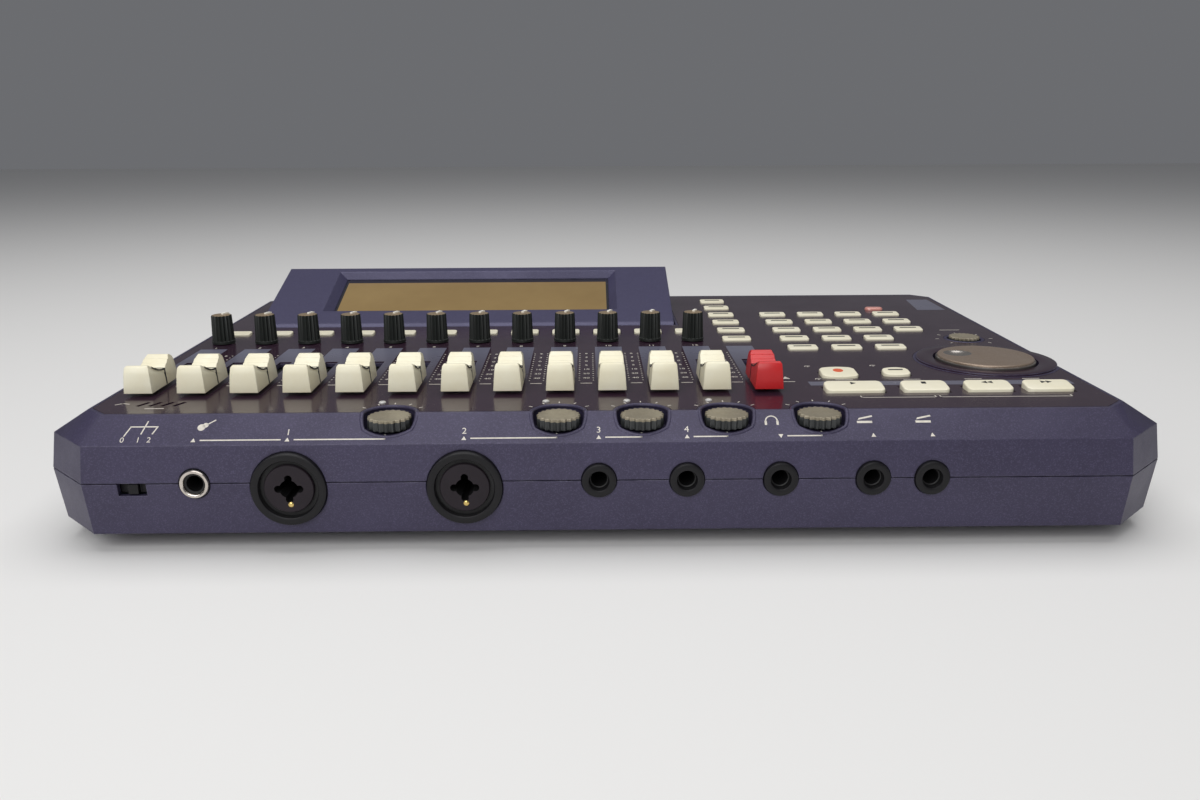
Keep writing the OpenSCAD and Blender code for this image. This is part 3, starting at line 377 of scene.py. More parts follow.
def makeWindow():
    look = windowLook
    material, tree, shader = newMaterial("windowAmber")
    place = addNode(tree, "ShaderNodeTexCoord")
    dots = addNode(tree, "ShaderNodeTexChecker", {"Scale": look["dotPitch"]})
    tree.links.new(place.outputs["Object"], dots.inputs["Vector"])
    grain = placeGroup(tree, mouldGrain, look["grain"])
    tone = mixColours(tree, grain.outputs["Mottle"], look["glass"], look["edge"])
    faint = math2(tree, "MULTIPLY", dots.outputs["Fac"], look["netShare"])
    glass = mixColours(tree, faint, tone, look["net"])
    span = highOf("display_window") - lowOf("display_window")
    axis = addNode(tree, "ShaderNodeSeparateXYZ")
    tree.links.new(place.outputs["Generated"], axis.inputs["Vector"])
    right = axis.outputs["X"]
    front = axis.outputs["Y"]
    side = math2(tree, "MINIMUM", right, math2(tree, "SUBTRACT", 1.0, right))
    back = math2(tree, "SUBTRACT", 1.0, front)
    blur = look["lineBlur"]
    line = 0.0
    # dark edge lines; the widest, at the back, is painted shadow of the bezel
    for share, length, width in ((side, span.x, "sideLine"), (front, span.y, "frontLine"),
                                 (back, span.y, "backLineAndShadow")):
        end = look["hiddenRim"] + look[width]
        inward = math2(tree, "MULTIPLY", share, length)
        line = math2(tree, "MAXIMUM", line, rangeOf(tree, inward, end - blur, end + blur, 1.0, 0.0))
    tree.links.new(mixColours(tree, line, glass, look["line"]), shader.inputs["Base Color"])
    rough = rangeOf(tree, grain.outputs["Mottle"], 0.0, 1.0, *look["rough"])
    tree.links.new(rough, shader.inputs["Roughness"])
    shader.inputs["Coat Weight"].default_value = look["coat"]
    shader.inputs["Coat Roughness"].default_value = look["coatRough"]
    return material


windowAmber = makeWindow()
print("materials made:", len(bpy.data.materials))


# mesh helpers, all in millimetres until the piece is placed
def makePiece(name, bm, materials, body, replaces=(), sharp=35.0):
    bmesh.ops.recalc_face_normals(bm, faces=bm.faces)
    mesh = bpy.data.meshes.new(name)
    bm.to_mesh(mesh)
    bm.free()
    mesh.transform(Matrix.Scale(mm, 4))
    mesh.shade_smooth()
    mesh.set_sharp_from_angle(angle=math.radians(sharp))
    piece = bpy.data.objects.new(name, mesh)
    for material in materials:
        mesh.materials.append(material)
    bpy.context.scene.collection.objects.link(piece)
    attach(piece, body)
    if replaces:
        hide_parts(*replaces)


# closed skin through a stack of loops with equal point counts; material may list one index for each band
def addStack(bm, loops, material=0, ring=False):
    rows = [[bm.verts.new(point) for point in loop] for loop in loops]
    count = len(loops[0])
    pairs = list(zip(rows, rows[1:]))
    if ring:
        pairs.append((rows[-1], rows[0]))
    finishes = material if isinstance(material, list) else [material] * len(pairs)
    for (low, high), index in zip(pairs, finishes):
        for start in range(count):
            after = (start + 1) % count
            bm.faces.new((low[start], low[after], high[after], high[start])).material_index = index
    if not ring:
        bm.faces.new(list(reversed(rows[0]))).material_index = finishes[0]
        bm.faces.new(rows[-1]).material_index = finishes[-1]


def roundedRect(width, depth, corner, steps=5):
    points = []
    for turn, (sx, sy) in enumerate(((1, 1), (-1, 1), (-1, -1), (1, -1))):
        for step in range(steps + 1):
            angle = math.radians(90 * turn + 90 * step / steps)
            points.append((sx * (width / 2 - corner) + corner * math.cos(angle),
                           sy * (depth / 2 - corner) + corner * math.sin(angle)))
    return points


def ribbedRing(radius, ribs, depth, perRib=6):
    points = []
    for index in range(ribs * perRib):
        angle = 2 * math.pi * index / (ribs * perRib)
        reach = radius - depth * (1 - math.cos(ribs * angle)) / 2
        points.append((reach * math.cos(angle), reach * math.sin(angle)))
    return points


def circle(radius, count=48):
    return [(radius * math.cos(2 * math.pi * index / count), radius * math.sin(2 * math.pi * index / count))
            for index in range(count)]


def lift(points, z, x=0.0, y=0.0):
    return [(x + point[0], y + point[1], z) for point in points]


# the same outline stood upright, facing the front
def stand(points, y, x=0.0, z=0.0):
    return [(x + point[0], y, z + point[1]) for point in points]


# (inset, height) pairs of a rounded upper edge
def roundEdge(radius, top, steps=4):
    pairs = []
    for step in range(steps + 1):
        angle = math.radians(90 * step / steps)
        pairs.append((radius * (1 - math.cos(angle)), top - radius + radius * math.sin(angle)))
    return pairs


# lowers a loop towards the front, where only a share of its height over the deck is left
def leanFront(loop, y, depth, frontShare):
    leaned = []
    for px, py, pz in loop:
        lost = (1 - frontShare) * (0.5 - (py - y) / depth)
        leaned.append((px, py, pz - lost * max(pz - deckZ, 0.0)))
    return leaned


# the plane of such a leaning top, with its origin in the middle
def leanPlane(x, y, depth, top, frontShare):
    rise = top - deckZ
    slope = math.atan2(rise * (1 - frontShare), depth)
    middle = Matrix.Translation((x, y, deckZ + rise * (1 + frontShare) / 2))
    return middle @ Matrix.Rotation(slope, 4, "X")


# block with a rounded-rectangle plan, a rounded upper edge and a top that may lean
leastCorner = 0.05


def addSoftBlock(bm, x, y, width, depth, low, top, corner, edge, frontShare=1.0):
    loops = [lift(roundedRect(width, depth, corner), low, x, y)]
    for inset, height in roundEdge(edge, top):
        shrunk = max(corner - inset, leastCorner)
        loop = lift(roundedRect(width - 2 * inset, depth - 2 * inset, shrunk), height, x, y)
        loops.append(leanFront(loop, y, depth, frontShare))
    addStack(bm, loops)


def addSlab(bm, x0, x1, y0, y1, z0, z1, material=0):
    addStack(bm, [[(x0, y0, z), (x1, y0, z), (x1, y1, z), (x0, y1, z)] for z in (z0, z1)], material)


# one mesh added to another, which takes it over
def addCopy(bm, other, material):
    for face in other.faces:
        face.material_index = material
    mesh = bpy.data.meshes.new("copy")
    other.to_mesh(mesh)
    other.free()
    bm.from_mesh(mesh)
    bpy.data.meshes.remove(mesh)


# flat printed outline of the thickness of ink, lying on a plane
inkHeight = 0.04
inkSink = 0.02


def addInk(bm, points, plane, material=0):
    low = [plane @ Vector((point[0], point[1], -inkSink)) for point in points]
    high = [plane @ Vector((point[0], point[1], inkHeight)) for point in points]
    addStack(bm, [low, high], material)


def addInkLine(bm, start, end, width, plane, material=0):
    along = Vector((end[0] - start[0], end[1] - start[1])).normalized() * width / 2
    side = Vector((-along.y, along.x))
    first = Vector(start) - along
    last = Vector(end) + along
    addInk(bm, [first - side, last - side, last + side, first + side], plane, material)


def addInkRect(bm, x0, x1, y0, y1, plane):
    addInk(bm, [(x0, y0), (x1, y0), (x1, y1), (x0, y1)], plane)


def addInkArc(bm, centre, radius, width, fromAngle, toAngle, plane, steps=14):
    outer = []
    inner = []
    for step in range(steps + 1):
        angle = math.radians(fromAngle + (toAngle - fromAngle) * step / steps)
        spoke = Vector((math.cos(angle), math.sin(angle)))
        outer.append(Vector(centre) + spoke * (radius + width / 2))
        inner.append(Vector(centre) + spoke * (radius - width / 2))
    addInk(bm, outer + list(reversed(inner)), plane)


def addInkDisc(bm, centre, radius, plane, material=0, count=20):
    addInk(bm, [Vector(centre) + Vector(point) for point in circle(radius, count)], plane, material)


# plain figures, from the built-in typeface
figureLook = {"sizeForHeight": 1.4, "resolution": 3, "weld": 1e-5}


def addFigures(bm, text, centre, height, plane):
    font = bpy.data.curves.new("figures", "FONT")
    font.body = text
    font.align_x = "CENTER"
    font.align_y = "CENTER"
    font.size = height * figureLook["sizeForHeight"]
    font.extrude = inkHeight / 2
    font.resolution_u = figureLook["resolution"]
    holder = bpy.data.objects.new("figures", font)
    mesh = bpy.data.meshes.new_from_object(holder)
    mesh.transform(plane @ Matrix.Translation((centre[0], centre[1], inkHeight / 2)))
    sealed = bmesh.new()
    sealed.from_mesh(mesh)
    bmesh.ops.remove_doubles(sealed, verts=sealed.verts, dist=figureLook["weld"])
    sealed.to_mesh(mesh)
    sealed.free()
    bm.from_mesh(mesh)
    bpy.data.objects.remove(holder)
    bpy.data.meshes.remove(mesh)
    bpy.data.curves.remove(font)


deckPlane = Matrix.Translation((0, 0, deckZ))


# rounded edges on a carried-over part
softLook = {"weld": 1e-6, "angle": 40.0}


def softenEdges(node, width, segments):
    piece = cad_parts[node]
    weld = piece.modifiers.new("weld", "WELD")
    weld.merge_threshold = softLook["weld"]
    soft = piece.modifiers.new("softEdge", "BEVEL")
    soft.width = width * mm
    soft.segments = segments
    soft.limit_method = "ANGLE"
    soft.angle_limit = math.radians(softLook["angle"])
    shade = piece.modifiers.new("evenShade", "WEIGHTED_NORMAL")
    shade.keep_sharp = False


def dress(node, material):
    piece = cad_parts[node]
    piece.data.materials.clear()
    piece.data.materials.append(material)


# carried-over parts and their finishes, and the edges that are rounded, by width and segments
carried = {
    "top_case": caseViolet, "bottom_case": caseViolet, "deck_film": deckGloss, "feet": footRubber,
    "case_screws": steelPlain, "main_board": boardGreen, "control_board": boardGreen,
    "fader_units": knobShade, "hard_drive": steelPlain, "display_housing": displayViolet,
    "display_bezel": displayViolet, "display_window": windowAmber, "hinge_pins": steelPlain,
    "input_switch": socketBlack,
}
softened = {
    "top_case": (0.5, 2), "bottom_case": (0.5, 2), "display_housing": (0.8, 3), "display_bezel": (0.6, 3),
    "feet": (0.8, 3), "input_switch": (0.3, 2),
}
for node, material in carried.items():
    dress(node, material)
for node, (width, segments) in softened.items():
    softenEdges(node, width, segments)
print("carried-over parts dressed:", len(carried))


# fader caps: a steep front, a valley with a dark pointer line, a stepped rise and a rounded back
# face pairs an inset with a share of the height, brow an inset with a drop
faderCapLook = {"face": [(0.1, 0.35), (0.3, 0.65)], "lean": 0.8,
                "brow": [(0.0, 0.9), (0.35, 0.3), (0.9, 0.0)],
                "frontCrest": 2.6, "slopeSteps": 8, "bend": 1.8, "valleyDrop": 4.4, "valleyHalf": 0.8,
                "riser": 1.7, "steps": 3, "rearRun": 4.5, "rearCrest": 0.6, "rearSteps": 10,
                "edge": 0.25, "edgeAngle": 24.0, "taper": 0.15, "cornerHeight": 1.6, "cornerInset": 0.8,
                "lineBack": 1.6, "lineWidth": 1.1, "lineSink": 0.2, "lineFoot": 0.3, "sideSink": 0.3,
                "edgeShadeStrip": 0.6, "edgeGap": 0.01, "proud": 0.08, "baseLift": 1.5, "stem": (3.0, 4.0),
                "stemInto": 0.5}


# the slope from the front crest down to the pointer line
def slopePoints(look, line, height):
    fall = line - look["valleyHalf"] - look["frontCrest"]
    bend = look["bend"]
    points = []
    for step in range(look["slopeSteps"] + 1):
        share = step / look["slopeSteps"]
        depth = look["valleyDrop"] * (bend * share + (1 - bend) * share * share)
        points.append((look["frontCrest"] + share * fall, height - depth))
    return points


def capProfile(look, length, height):
    line = length / 2 + look["lineBack"]
    points = [(0.0, 0.0)]
    points += [(inset, height * share) for inset, share in look["face"]]
    points += [(look["lean"] + inset, height - drop) for inset, drop in look["brow"]]
    points += slopePoints(look, line, height)
    steps = look["steps"]
    drop = look["valleyDrop"] / steps
    riser = look["riser"]
    rear = length - look["rearRun"] - look["rearCrest"]
    tread = (rear - riser - line - look["valleyHalf"]) / (steps - 1)
    for step in reversed(range(steps)):
        points.append((rear - step * tread - riser, height - (step + 1) * drop))
        points.append((rear - step * tread, height - step * drop))
    for step in range(look["rearSteps"] + 1):
        turn = math.radians(90 * step / look["rearSteps"])
        points.append((length - look["rearRun"] * (1 - math.sin(turn)), height * math.cos(turn)))
    return points


# the dark line across the valley and down both sides, and a dark strip along the edges of the slope, partly
# a dark joint and partly painted shade there
def addCapLine(bm, look, front, line, halfWidth, height):
    half = look["lineWidth"] / 2
    valley = height - look["valleyDrop"]
    proud = look["proud"]
    slope = slopePoints(look, line - front, height)[1:]
    slope.append((line - half - look["edgeGap"] - front, valley))
    strip = [(front + along, level + proud) for along, level in slope]
    strip += [(py, pz - look["edgeShadeStrip"]) for py, pz in reversed(strip)]
    top = valley + proud
    addSlab(bm, -halfWidth, halfWidth, line - half, line + half, valley - look["lineSink"], top, 1)
    for side in (-1, 1):
        edges = sorted((side * (halfWidth - look["sideSink"]), side * (halfWidth + proud)))
        addSlab(bm, *edges, line - half, line + half, look["lineFoot"], top, 1)
        addStack(bm, [[(px, py, pz) for py, pz in strip] for px in edges], 1)


def makeFaderCap(node, material):
    look = faderCapLook
    low = lowOf(node)
    high = highOf(node)
    x, y, _ = middleOf(node)
    halfWidth = (high.x - low.x) / 2
    base = deckZ + look["baseLift"]
    height = high.z - base
    profile = capProfile(look, high.y - low.y, height)
    bm = bmesh.new()
    sides = (-halfWidth, halfWidth)
    addStack(bm, [[(px, low.y + along, level) for along, level in profile] for px in sides])
    bmesh.ops.recalc_face_normals(bm, faces=bm.faces)
    keen = [edge for edge in bm.edges if edge.calc_face_angle(0) > math.radians(look["edgeAngle"])]
    bmesh.ops.bevel(bm, geom=keen, offset=look["edge"], segments=2, profile=0.6, affect="EDGES",
                    clamp_overlap=True)
    addCapLine(bm, look, low.y, y + look["lineBack"], halfWidth, height)
    for vert in bm.verts:
        share = max(vert.co.z - height + look["cornerHeight"], 0.0) / look["cornerHeight"]
        corner = look["cornerInset"] * share ** 2 / halfWidth
        vert.co.x *= 1 - look["taper"] * max(vert.co.z, 0) / height - corner
        vert.co += Vector((x, 0, base))
    width, depth = look["stem"]
    addSlab(bm, x - width / 2, x + width / 2, y - depth / 2, y + depth / 2, low.z, base + look["stemInto"])
    makePiece("cap_" + node, bm, [material, printBlack], node, [node])


for node in faderNodes[:channelCount]:
    makeFaderCap(node, faderCream)
makeFaderCap("master_fader_cap", faderRed)
print("fader caps made:", len(faderNodes))


# pan knobs: fluted barrels with a flared foot, a tan crown and a pale pointer bent down over the rim
panLook = {"flutes": 16, "fluteDepth": 0.85, "perFlute": 8, "shaft": 3.0, "baseLift": 0.5, "foot": 1.2,
           "footInset": 0.2, "footEdge": 0.3, "taper": 0.45, "crown": 0.5, "crownDrop": 0.6, "rimRise": 0.3,
           "rimInset": 0.25, "rimFlute": 0.6, "crownInset": 0.7, "crownEdge": 0.12, "flatInset": 0.5,
           "flatDrop": 0.05, "pointerWidth": 1.2, "pointerTurn": -24.0, "pointerStart": 0.6,
           "pointerBend": 0.9, "pointerGap": 0.01, "pointerEnd": 0.05, "pointerSink": 0.8,
           "pointerDown": 1.4, "pointerStep": 0.2}


def makePanKnob(node):
    look = panLook
    low = lowOf(node)
    high = highOf(node)
    x, y, _ = middleOf(node)
    foot = (high.x - low.x) / 2
    barrel = foot - look["footInset"]
    rim = barrel - look["taper"]
    base = deckZ + look["baseLift"]
    footTop = base + look["foot"]
    top = high.z - look["crownDrop"]
    rimZ = top - look["crown"]
    depth = look["fluteDepth"]
    count = look["flutes"] * look["perFlute"]
    crown = rim - look["crownInset"]
    plain = [(look["shaft"], low.z), (look["shaft"], base), (foot, base), (foot, footTop)]
    fluted = [(barrel, footTop + look["footEdge"], depth), (rim, rimZ, depth),
              (rim - look["rimInset"], rimZ + look["rimRise"], depth * look["rimFlute"])]
    tan = [(crown, top - look["crownEdge"]), (crown - look["flatInset"], top - look["flatDrop"])]
    loops = [lift(circle(reach, count), z, x, y) for reach, z in plain]
    for reach, z, flute in fluted:
        loops.append(lift(ribbedRing(reach, look["flutes"], flute, look["perFlute"]), z, x, y))
    dark = len(loops) - 1
    loops += [lift(circle(reach, count), z, x, y) for reach, z in tan]
    bm = bmesh.new()
    addStack(bm, loops, [0] * dark + [1] * len(tan))
    mark = bmesh.new()
    half = look["pointerWidth"] / 2
    bend = rim - look["pointerBend"]
    addSlab(mark, -half, half, look["pointerStart"], bend, top - look["pointerSink"], high.z)
    addSlab(mark, -half, half, bend + look["pointerGap"], rim - look["pointerEnd"],
            rimZ - look["pointerDown"], high.z - look["pointerStep"])
    turned = Matrix.Translation((x, y, 0)) @ Matrix.Rotation(math.radians(look["pointerTurn"]), 4, "Z")
    bmesh.ops.transform(mark, matrix=turned, verts=mark.verts)
    addCopy(bm, mark, 2)
    makePiece("barrel_" + node, bm, [knobBlack, knobCrown, pointerPale], node, [node])


for node in panNodes:
    makePanKnob(node)
print("pan knobs made:", len(panNodes))


# scalloped knobs: dark lobed sides under a grey crown
scallopLook = {"lobes": 20, "depth": 1.0, "perLobe": 6, "shaft": 3.0, "footEdge": 0.4, "crown": 1.1,
               "crownInset": 0.1, "crownDepth": 0.9, "edge": 0.4, "flatInset": 2.4, "flatDrop": 0.04,
               "dishInset": 4.4, "dish": 0.25, "frontHeight": 4.7, "contrastHeight": 7.0}


def makeScallopKnob(node, height):
    look = scallopLook
    low = lowOf(node)
    high = highOf(node)
    x, y, _ = middleOf(node)
    radius = (high.x - low.x) / 2
    top = high.z
    base = top - height
    rimZ = top - look["crown"]
    crownRadius = radius - look["crownInset"]

    def plain(reach, z):
        return lift(circle(reach, look["lobes"] * look["perLobe"]), z, x, y)

    def lobed(reach, z, depth=look["depth"]):
        return lift(ribbedRing(reach, look["lobes"], depth, look["perLobe"]), z, x, y)

    bm = bmesh.new()
    sides = [plain(look["shaft"], low.z), plain(look["shaft"], base), lobed(radius - look["footEdge"], base),
             lobed(radius, base + look["footEdge"]), lobed(radius, rimZ)]
    addStack(bm, sides, 0)
    crown = [lobed(crownRadius, rimZ)]
    for inset, z in roundEdge(look["edge"], top, 3):
        crown.append(lobed(crownRadius - inset, z, look["crownDepth"]))
    crown.append(plain(radius - look["flatInset"], top - look["flatDrop"]))
    crown.append(plain(radius - look["dishInset"], top - look["dish"]))
    addStack(bm, crown, 1)
    makePiece("knob_" + node, bm, [knobShade, knobGrey], node, [node])


for node in trimNodes:
    makeScallopKnob(node, scallopLook["frontHeight"])
makeScallopKnob("contrast_knob", scallopLook["contrastHeight"])
print("scalloped knobs made:", len(trimNodes) + 1)


# jog dial: a shallow drum with a finger dimple, let into a seat in its skirt
jogLook = {"rings": 60, "segments": 120, "shaft": 3.0, "skirtSink": 3.5, "skirtEdge": 0.4,
           "skirtInset": 0.75, "topBand": 1.3, "seatRim": 3.0, "seatDeep": 2.5,
           "plugGap": 0.75, "plugLift": 0.1, "rimSink": 0.2,
           "edge": 0.7, "crown": 0.25, "dimpleReach": 12.5, "dimpleTurn": 156.0, "dimpleRadius": 6.4,
           "dimpleDeep": 1.8, "sharp": 50.0}


def makeJogDial():
    look = jogLook
    low = lowOf("jog_dial")
    high = highOf("jog_dial")
    x, y, _ = middleOf("jog_dial")
    radius = (high.x - low.x) / 2
    topRadius = radius - look["skirtInset"]
    seat = radius - look["seatRim"]
    plug = seat - look["plugGap"]
    top = high.z
    bandZ = top - look["topBand"]
    seatZ = top - look["seatDeep"]
    skirtLow = deckZ - look["skirtSink"]
    rimLow = bandZ - look["rimSink"]
    turn = math.radians(look["dimpleTurn"])
    dimple = Vector((math.cos(turn), math.sin(turn))) * look["dimpleReach"]

    def ring(reach, z):
        return lift(circle(reach, look["segments"]), z, x, y)

    def height(px, py):
        away = (Vector((px, py)) - dimple).length / look["dimpleRadius"]
        hollow = look["dimpleDeep"] * max(1 - away * away, 0.0)
        return top - look["crown"] * (px * px + py * py) / topRadius ** 2 - hollow

    bm = bmesh.new()
    skirt = [ring(look["shaft"], low.z), ring(look["shaft"], skirtLow), ring(radius, skirtLow)]
    skirt += [ring(radius - inset, z) for inset, z in roundEdge(look["skirtEdge"], bandZ, 3)]
    skirt += [ring(seat, bandZ), ring(seat, seatZ)]
    addStack(bm, skirt, 0)
    drum = [ring(plug, seatZ + look["plugLift"]), ring(plug, rimLow), ring(topRadius, rimLow)]
    drum += [ring(topRadius - inset, z) for inset, z in roundEdge(look["edge"], top - look["crown"], 4)]
    inner = topRadius - look["edge"]
    for index in range(1, look["rings"]):
        reach = inner * (1 - index / look["rings"])
        drum.append([(x + px, y + py, height(px, py)) for px, py in circle(reach, look["segments"])])
    addStack(bm, drum, 1)
    # faces inside the dimple take its polished finish, whose lighter colour is partly a painted highlight
    for face in bm.faces:
        centre = face.calc_center_median()
        away = Vector((centre.x - x, centre.y - y)) - dimple
        if face.material_index and away.length < look["dimpleRadius"]:
            face.material_index = 2
    makePiece("dial_jog", bm, [dialShade, dialBronze, dimplePolishAndHighlight], "jog_dial", ["jog_dial"],
              look["sharp"])


makeJogDial()


# glossy skin over the raised platform round the dial
platformLook = {"gap": 1.15, "reach": 31.55, "rise": 0.86, "edge": 0.5, "edgeShare": 0.3, "foot": 0.2,
                "innerInset": 0.2, "innerDrop": 0.1, "sink": 0.02, "lap": 1.0, "count": 120}


def makePlatform():
    look = platformLook
    middle = middleOf("jog_dial")
    inner = (highOf("jog_dial").x - lowOf("jog_dial").x) / 2 + look["gap"]
    outer = look["reach"]
    rise = look["rise"]
    edge = look["edge"]
    cut = look["edgeShare"] * edge
    section = [(inner, look["foot"]), (inner, rise - look["innerDrop"]), (inner + look["innerInset"], rise),
               (outer - edge, rise), (outer - cut, rise - cut), (outer, rise - edge), (outer, -look["sink"]),
               (outer - look["lap"], -look["sink"])]
    bm = bmesh.new()
    rings = [lift(circle(reach, look["count"]), deckZ + z, middle.x, middle.y) for reach, z in section]
    addStack(bm, rings, 0, True)
    makePiece("platformSkin", bm, [deckGloss], "case")


makePlatform()
print("jog dial and its platform made")


# front sockets, turned on the way a plug goes in; a profile pairs a reach with a depth behind the mouth
# deep grooves and bores take the darker black, painted shade
socketLook = {"count": 96, "floor": 2.0, "bodyHalf": 7.0}
comboLook = {"body": [(12.9, 6.3)], "rim": [(0.0, 6.3), (0.0, 0.8), (0.25, 0.25), (0.8, 0.0)],
             "trough": [(12.5, 0.0), (11.9, 0.25), (11.6, 0.8), (11.5, 2.6), (9.8, 2.6), (9.8, 1.5),
                        (9.5, 1.1), (9.0, 1.0)],
             "face": 1.0, "hole": 3.7, "lobeReach": 4.2, "lobe": 1.5,
             "contactAside": 0.4, "contactDrop": 6.4,
             "contact": [(1.1, 1.2), (1.1, 0.9), (0.8, 0.6), (0.3, 0.5)]}
phoneProfile = [(6.85, 0.7), (6.6, 0.2), (6.1, 0.0), (4.6, 0.0), (4.1, 0.2), (3.8, 0.7), (3.6, 3.0),
                (3.2, 3.2)]
guitarProfile = [(6.9, 6.3), (6.0, 6.3), (6.0, 1.2), (5.9, 0.75), (5.75, 0.7), (5.7, 0.35), (5.45, 0.06),
                 (5.0, 0.0), (4.5, 0.12), (4.2, 0.45), (4.05, 1.3), (3.3, 1.5)]
frontJackX = [-4.2, 30.2, 66.8, 103.0, 126.1]
comboRadius = (highOf("combo_sockets").z - lowOf("combo_sockets").z) / 2
comboX = [lowOf("combo_sockets").x + comboRadius, highOf("combo_sockets").x - comboRadius]


# from the back of the body round its mouth to the floor of its bore
def socketSection(profile, front, back):
    section = [(profile[0][0], back)]
    section += [(reach, front + depth) for reach, depth in profile]
    section.append((profile[-1][0], back - socketLook["floor"]))
    return section


def addSocket(bm, x, z, section, finishes):
    loops = []
    for outline, y in section:
        points = outline if isinstance(outline, list) else circle(outline, socketLook["count"])
        loops.append(stand(points, y, x, z))
    addStack(bm, loops, finishes)


# round hole with four lobes
def lobedHole():
    look = comboLook
    points = []
    for px, py in circle(1.0, socketLook["count"]):
        angle = math.atan2(py, px)
        reach = look["hole"]
        away = angle - round(angle / (math.pi / 2)) * math.pi / 2
        aside = look["lobeReach"] * math.sin(away)
        if abs(aside) < look["lobe"]:
            tip = look["lobeReach"] * math.cos(away) + math.sqrt(look["lobe"] ** 2 - aside ** 2)
            reach = max(reach, tip)
        points.append((reach * px, reach * py))
    return points


def makeComboSockets():
    look = comboLook
    front = lowOf("combo_sockets").y
    back = highOf("combo_sockets").y
    z = middleOf("combo_sockets").z
    rim = [(comboRadius - inset, depth) for inset, depth in look["rim"]]
    profile = look["body"] + rim + look["trough"] + [(lobedHole(), look["face"])]
    contact = [(reach, front + depth) for reach, depth in look["contact"]]
    bm = bmesh.new()
    for x in comboX:
        addSocket(bm, x, z, socketSection(profile, front, back), [0] * 8 + [2] * 2 + [1] * 4 + [2])
        addSocket(bm, x + look["contactAside"], z - look["contactDrop"], contact, 3)
    makePiece("turned_combo_sockets", bm, [socketBlack, socketPlum, socketRecessShade, contactGold], "case",
              ["combo_sockets"])


def makePhoneJacks():
    low = lowOf("phone_jacks")
    high = highOf("phone_jacks")
    section = socketSection(phoneProfile, low.y, high.y)
    bm = bmesh.new()
    for x in frontJackX:
        addSocket(bm, x, high.z - socketLook["bodyHalf"], section, [0] * 6 + [1] * 3)
    makePiece("turned_phone_jacks", bm, [socketBlack, socketRecessShade], "case", ["phone_jacks"])


def makeGuitarJack():
    low = lowOf("guitar_jack")
    high = highOf("guitar_jack")
    section = socketSection(guitarProfile, low.y, high.y)
    bm = bmesh.new()
    addSocket(bm, middleOf("guitar_jack").x, high.z - socketLook["bodyHalf"], section,
              [0] * 5 + [1] * 6 + [2] * 2)
    makePiece("turned_guitar_jack", bm, [socketBlack, ferruleNickel, socketRecessShade], "case",
              ["guitar_jack"])


# back sockets: two wide ones, four with a bright barrel and two square ones
# a profile pairs a reach with a depth in from the back
# their bores take the same darker black, painted shade
rearLook = {"wideX": [-150.0, -125.0], "narrowX": [-92.0, -74.0, -56.0, -38.0], "squareX": [-14.0, 4.0],
            "wide": [(7.6, 0.7), (7.4, 0.2), (6.9, 0.0), (6.0, 0.0), (5.7, 0.3), (5.6, 3.0)],
            "pins": 5, "pinStep": 45, "pinRing": 3.2, "pinLift": 0.6,
            "pin": [(0.7, 3.2), (0.7, 2.98), (0.4, 2.9)],
            "narrow": [(5.0, 0.7), (4.8, 0.3), (4.4, 0.2), (4.0, 0.2), (3.9, 0.1), (3.7, 0.0), (3.1, 0.0),
                       (2.9, 0.1), (2.8, 8.0)],
            "square": [(10.0, 0.5), (9.7, 0.15), (9.0, 0.0), (6.8, 0.0), (6.2, 0.3), (6.0, 8.0)],
            "squareCorner": 0.8}


def makeRearSockets():
    look = rearLook
    low = lowOf("rear_sockets").y
    back = highOf("rear_sockets").y
    z = highOf("rear_sockets").z - look["wide"][0][0]

    def section(profile):
        return [(profile[0][0], low)] + [(reach, back - drop) for reach, drop in profile]

    bm = bmesh.new()
    pin = [(reach, back - drop) for reach, drop in look["pin"]]
    for x in look["wideX"]:
        addSocket(bm, x, z, section(look["wide"]), [0] * 4 + [2] * 2)
        for index in range(look["pins"]):
            turn = math.radians(look["pinStep"] * index)
            pinZ = z - look["pinRing"] * math.sin(turn) + look["pinLift"]
            addSocket(bm, x + look["pinRing"] * math.cos(turn), pinZ, pin, 3)
    for x in look["narrowX"]:
        addSocket(bm, x, z, section(look["narrow"]), [0] * 4 + [1] * 4 + [2])
    for x in look["squareX"]:
        steps = section(look["square"])
        outlines = [(roundedRect(size, size, look["squareCorner"]), y) for size, y in steps]
        addSocket(bm, x, z, outlines, [0] * 5 + [2])
    makePiece("turned_rear_sockets", bm, [socketBlack, ferruleNickel, socketRecessShade, contactGold], "case",
              ["rear_sockets"])


# power switch: a round button on a flange
powerLook = {"flange": 1.9, "button": [(4.0, 0.7), (3.8, 0.2), (3.3, 0.0), (2.4, 0.1), (1.0, 0.3)]}


def makePowerSwitch():
    low = lowOf("power_switch")
    high = highOf("power_switch")
    middle = middleOf("power_switch")
    flange = (high.x - low.x) / 2
    shelf = low.y + powerLook["flange"]
    button = powerLook["button"]
    section = [(flange, low.y), (flange, shelf), (button[0][0], shelf)]
    section += [(reach, high.y - drop) for reach, drop in button]
    bm = bmesh.new()
    addSocket(bm, middle.x, middle.z, section, 0)
    makePiece("turned_power_switch", bm, [knobBlack], "power_switch", ["power_switch"])


makeComboSockets()
makePhoneJacks()
makeGuitarJack()
makeRearSockets()
makePowerSwitch()
print("sockets made")


# keys with rounded corners, a top that leans to the front and a short printed dash
keyLook = {"corner": 1.5, "edge": 0.45, "sink": 3.0, "frontShare": 0.55, "dash": 7.6, "dashWidth": 1.3,
           "dashBack": 0.9}
flangeRim = 1.2  # of the hidden flange round each cap
keyWidth = highOf("mode_keys").x - lowOf("mode_keys").x - 2 * flangeRim
keyDepth = highOf("track_keys").y - lowOf("track_keys").y - 2 * flangeRim


